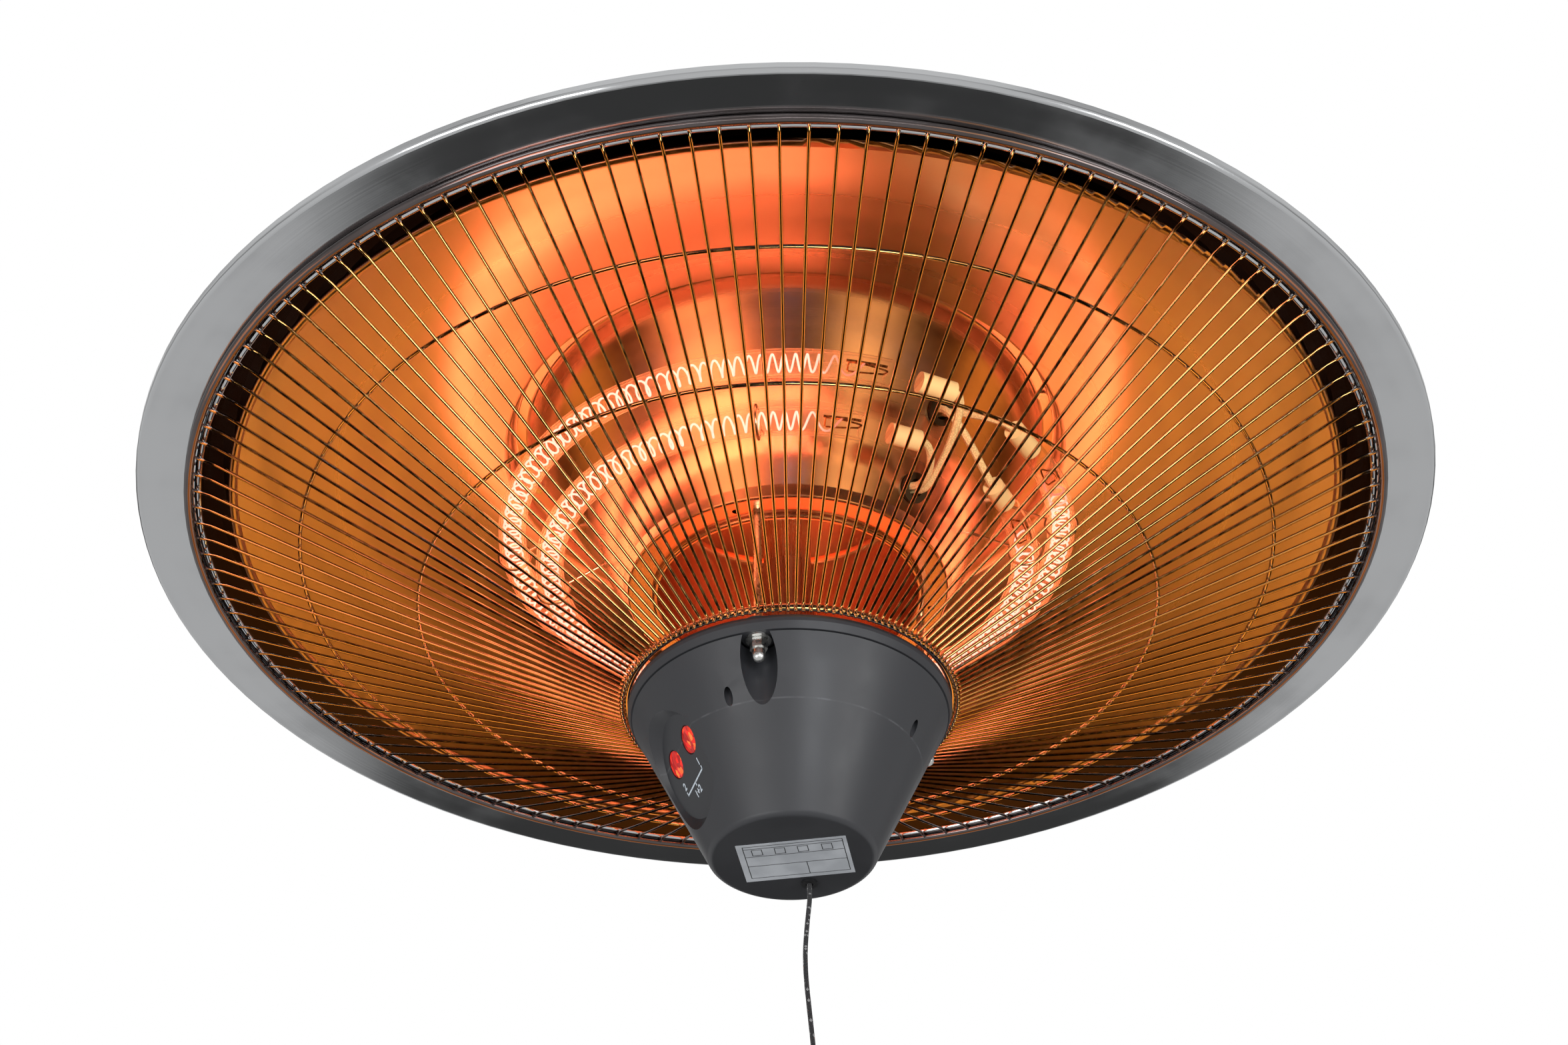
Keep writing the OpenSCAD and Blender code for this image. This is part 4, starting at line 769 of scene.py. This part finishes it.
# Pull switch. A closed case of black nylon with brass tabs, hidden inside the housing.
# The cord pulls a plastic carrier against a wire spring, and a cam turns on its axle as
# the carrier slides.
dress(gland_finish, "switch_body")
brass_finish, tree, shader = plain_finish("brass_tab", (0.66, 0.48, 0.20), 0.3, 1.0)
dress(brass_finish, "switch_terminals")
dress(lamp_finish, "switch_cam", "pull_carrier")
dress(clip_finish, "return_spring")
dress(zinc_finish, "cam_axle")


# Pull cord. A thin black braided cord with light tracer threads, tied to the switch's
# carrier. It hangs through a nylon eyelet in the housing's floor.
housing_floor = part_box("housing_cone")[0].z
cord_hole = Vector((0.007, 0.0205, housing_floor))
cord_points = [
    (0, 0, 12), (0, 0, 0), (0, 0, -8), (-0.8, 0, -16), (-1.8, 0, -26), (-2.4, 0, -36),
    (-2.2, 0, -48), (-1.2, 0, -62), (0, 0, -78), (1, 0, -96), (1.6, 0, -116), (1.4, 0, -136),
    (0.8, 0, -158), (0.3, 0, -180), (0, 0, -200), (0, 0, -215),
]


def smooth_route(points, steps):
    route = []
    for i in range(len(points) - 1):
        a, b = points[max(i - 1, 0)], points[i]
        c, d = points[i + 1], points[min(i + 2, len(points) - 1)]
        for k in range(steps):
            t = k / steps
            route.append(0.5 * (2 * b + (c - a) * t + (2 * a - 5 * b + 4 * c - d) * t * t
                                + (3 * b - a - 3 * c + d) * t * t * t))
    return route + [points[-1]]


braid, given, result = effect_group(
    "braid",
    [("Place", "NodeSocketVector", None), ("Around", "NodeSocketFloat", 8.0),
     ("Along", "NodeSocketFloat", 100.0), ("Flecks", "NodeSocketFloat", 0.1)],
    [("Height", "NodeSocketFloat"), ("Fleck", "NodeSocketFloat")],
)
split = braid.nodes.new("ShaderNodeSeparateXYZ")
braid.links.new(given.outputs["Place"], split.inputs[0])
along = math_node(braid, "MULTIPLY", split.outputs["X"], given.outputs["Along"])
around = math_node(braid, "MULTIPLY", split.outputs["Y"], given.outputs["Around"])
left_hand = math_node(braid, "ADD", around, along)
right_hand = math_node(braid, "SUBTRACT", around, along)
waves = [math_node(braid, "ABSOLUTE", math_node(braid, "SINE", math_node(braid, "MULTIPLY", a, math.pi)))
         for a in (left_hand, right_hand)]
braid.links.new(math_node(braid, "MULTIPLY", waves[0], waves[1]), result.inputs["Height"])
cell = braid.nodes.new("ShaderNodeCombineXYZ")
braid.links.new(math_node(braid, "FLOOR", left_hand), cell.inputs[0])
braid.links.new(math_node(braid, "FLOOR", right_hand), cell.inputs[1])
chance = braid.nodes.new("ShaderNodeTexWhiteNoise")
chance.noise_dimensions = "2D"
braid.links.new(cell.outputs[0], chance.inputs["Vector"])
flecked = math_node(braid, "LESS_THAN", chance.outputs["Value"], given.outputs["Flecks"])
braid.links.new(flecked, result.inputs["Fleck"])

cord_route = smooth_route([cord_hole + Vector(p) / 1000 for p in cord_points], 4)
cord_diameter = 0.0021
pull_cord = tube_curve("pull_cord_braid", cord_route, cord_diameter / 2, 3)
cord_finish, tree, shader = plain_finish("black_braid", (0.012, 0.012, 0.014), 0.62, Sheen_Weight=0.3)
uv = tree.nodes.new("ShaderNodeUVMap")
weave = place_group(tree, braid, Place=uv.outputs[0], Around=4.0, Along=120.0, Flecks=0.12)
threads = mix_colours(tree, weave.outputs["Fleck"], (0.014, 0.014, 0.016), (0.30, 0.30, 0.30))
tree.links.new(threads, shader.inputs["Base Color"])
bump(tree, shader, weave.outputs["Height"], 0.8, 0.0003)
pull_cord.data.materials.append(cord_finish)
lit_outside.objects.link(pull_cord)
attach(pull_cord, "pull")
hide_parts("pull_cord")
dress(gland_finish, "cord_eyelet")


# Pull knob. A small moulding of dark plastic on the cord's end, for the hand. It is a
# little glossier than the housing.
knob_finish = moulded("knob_plastic", (0.035, 0.036, 0.039), 0.28, 0.38, 900, 0.0001)
dress(knob_finish, "pull_knob")
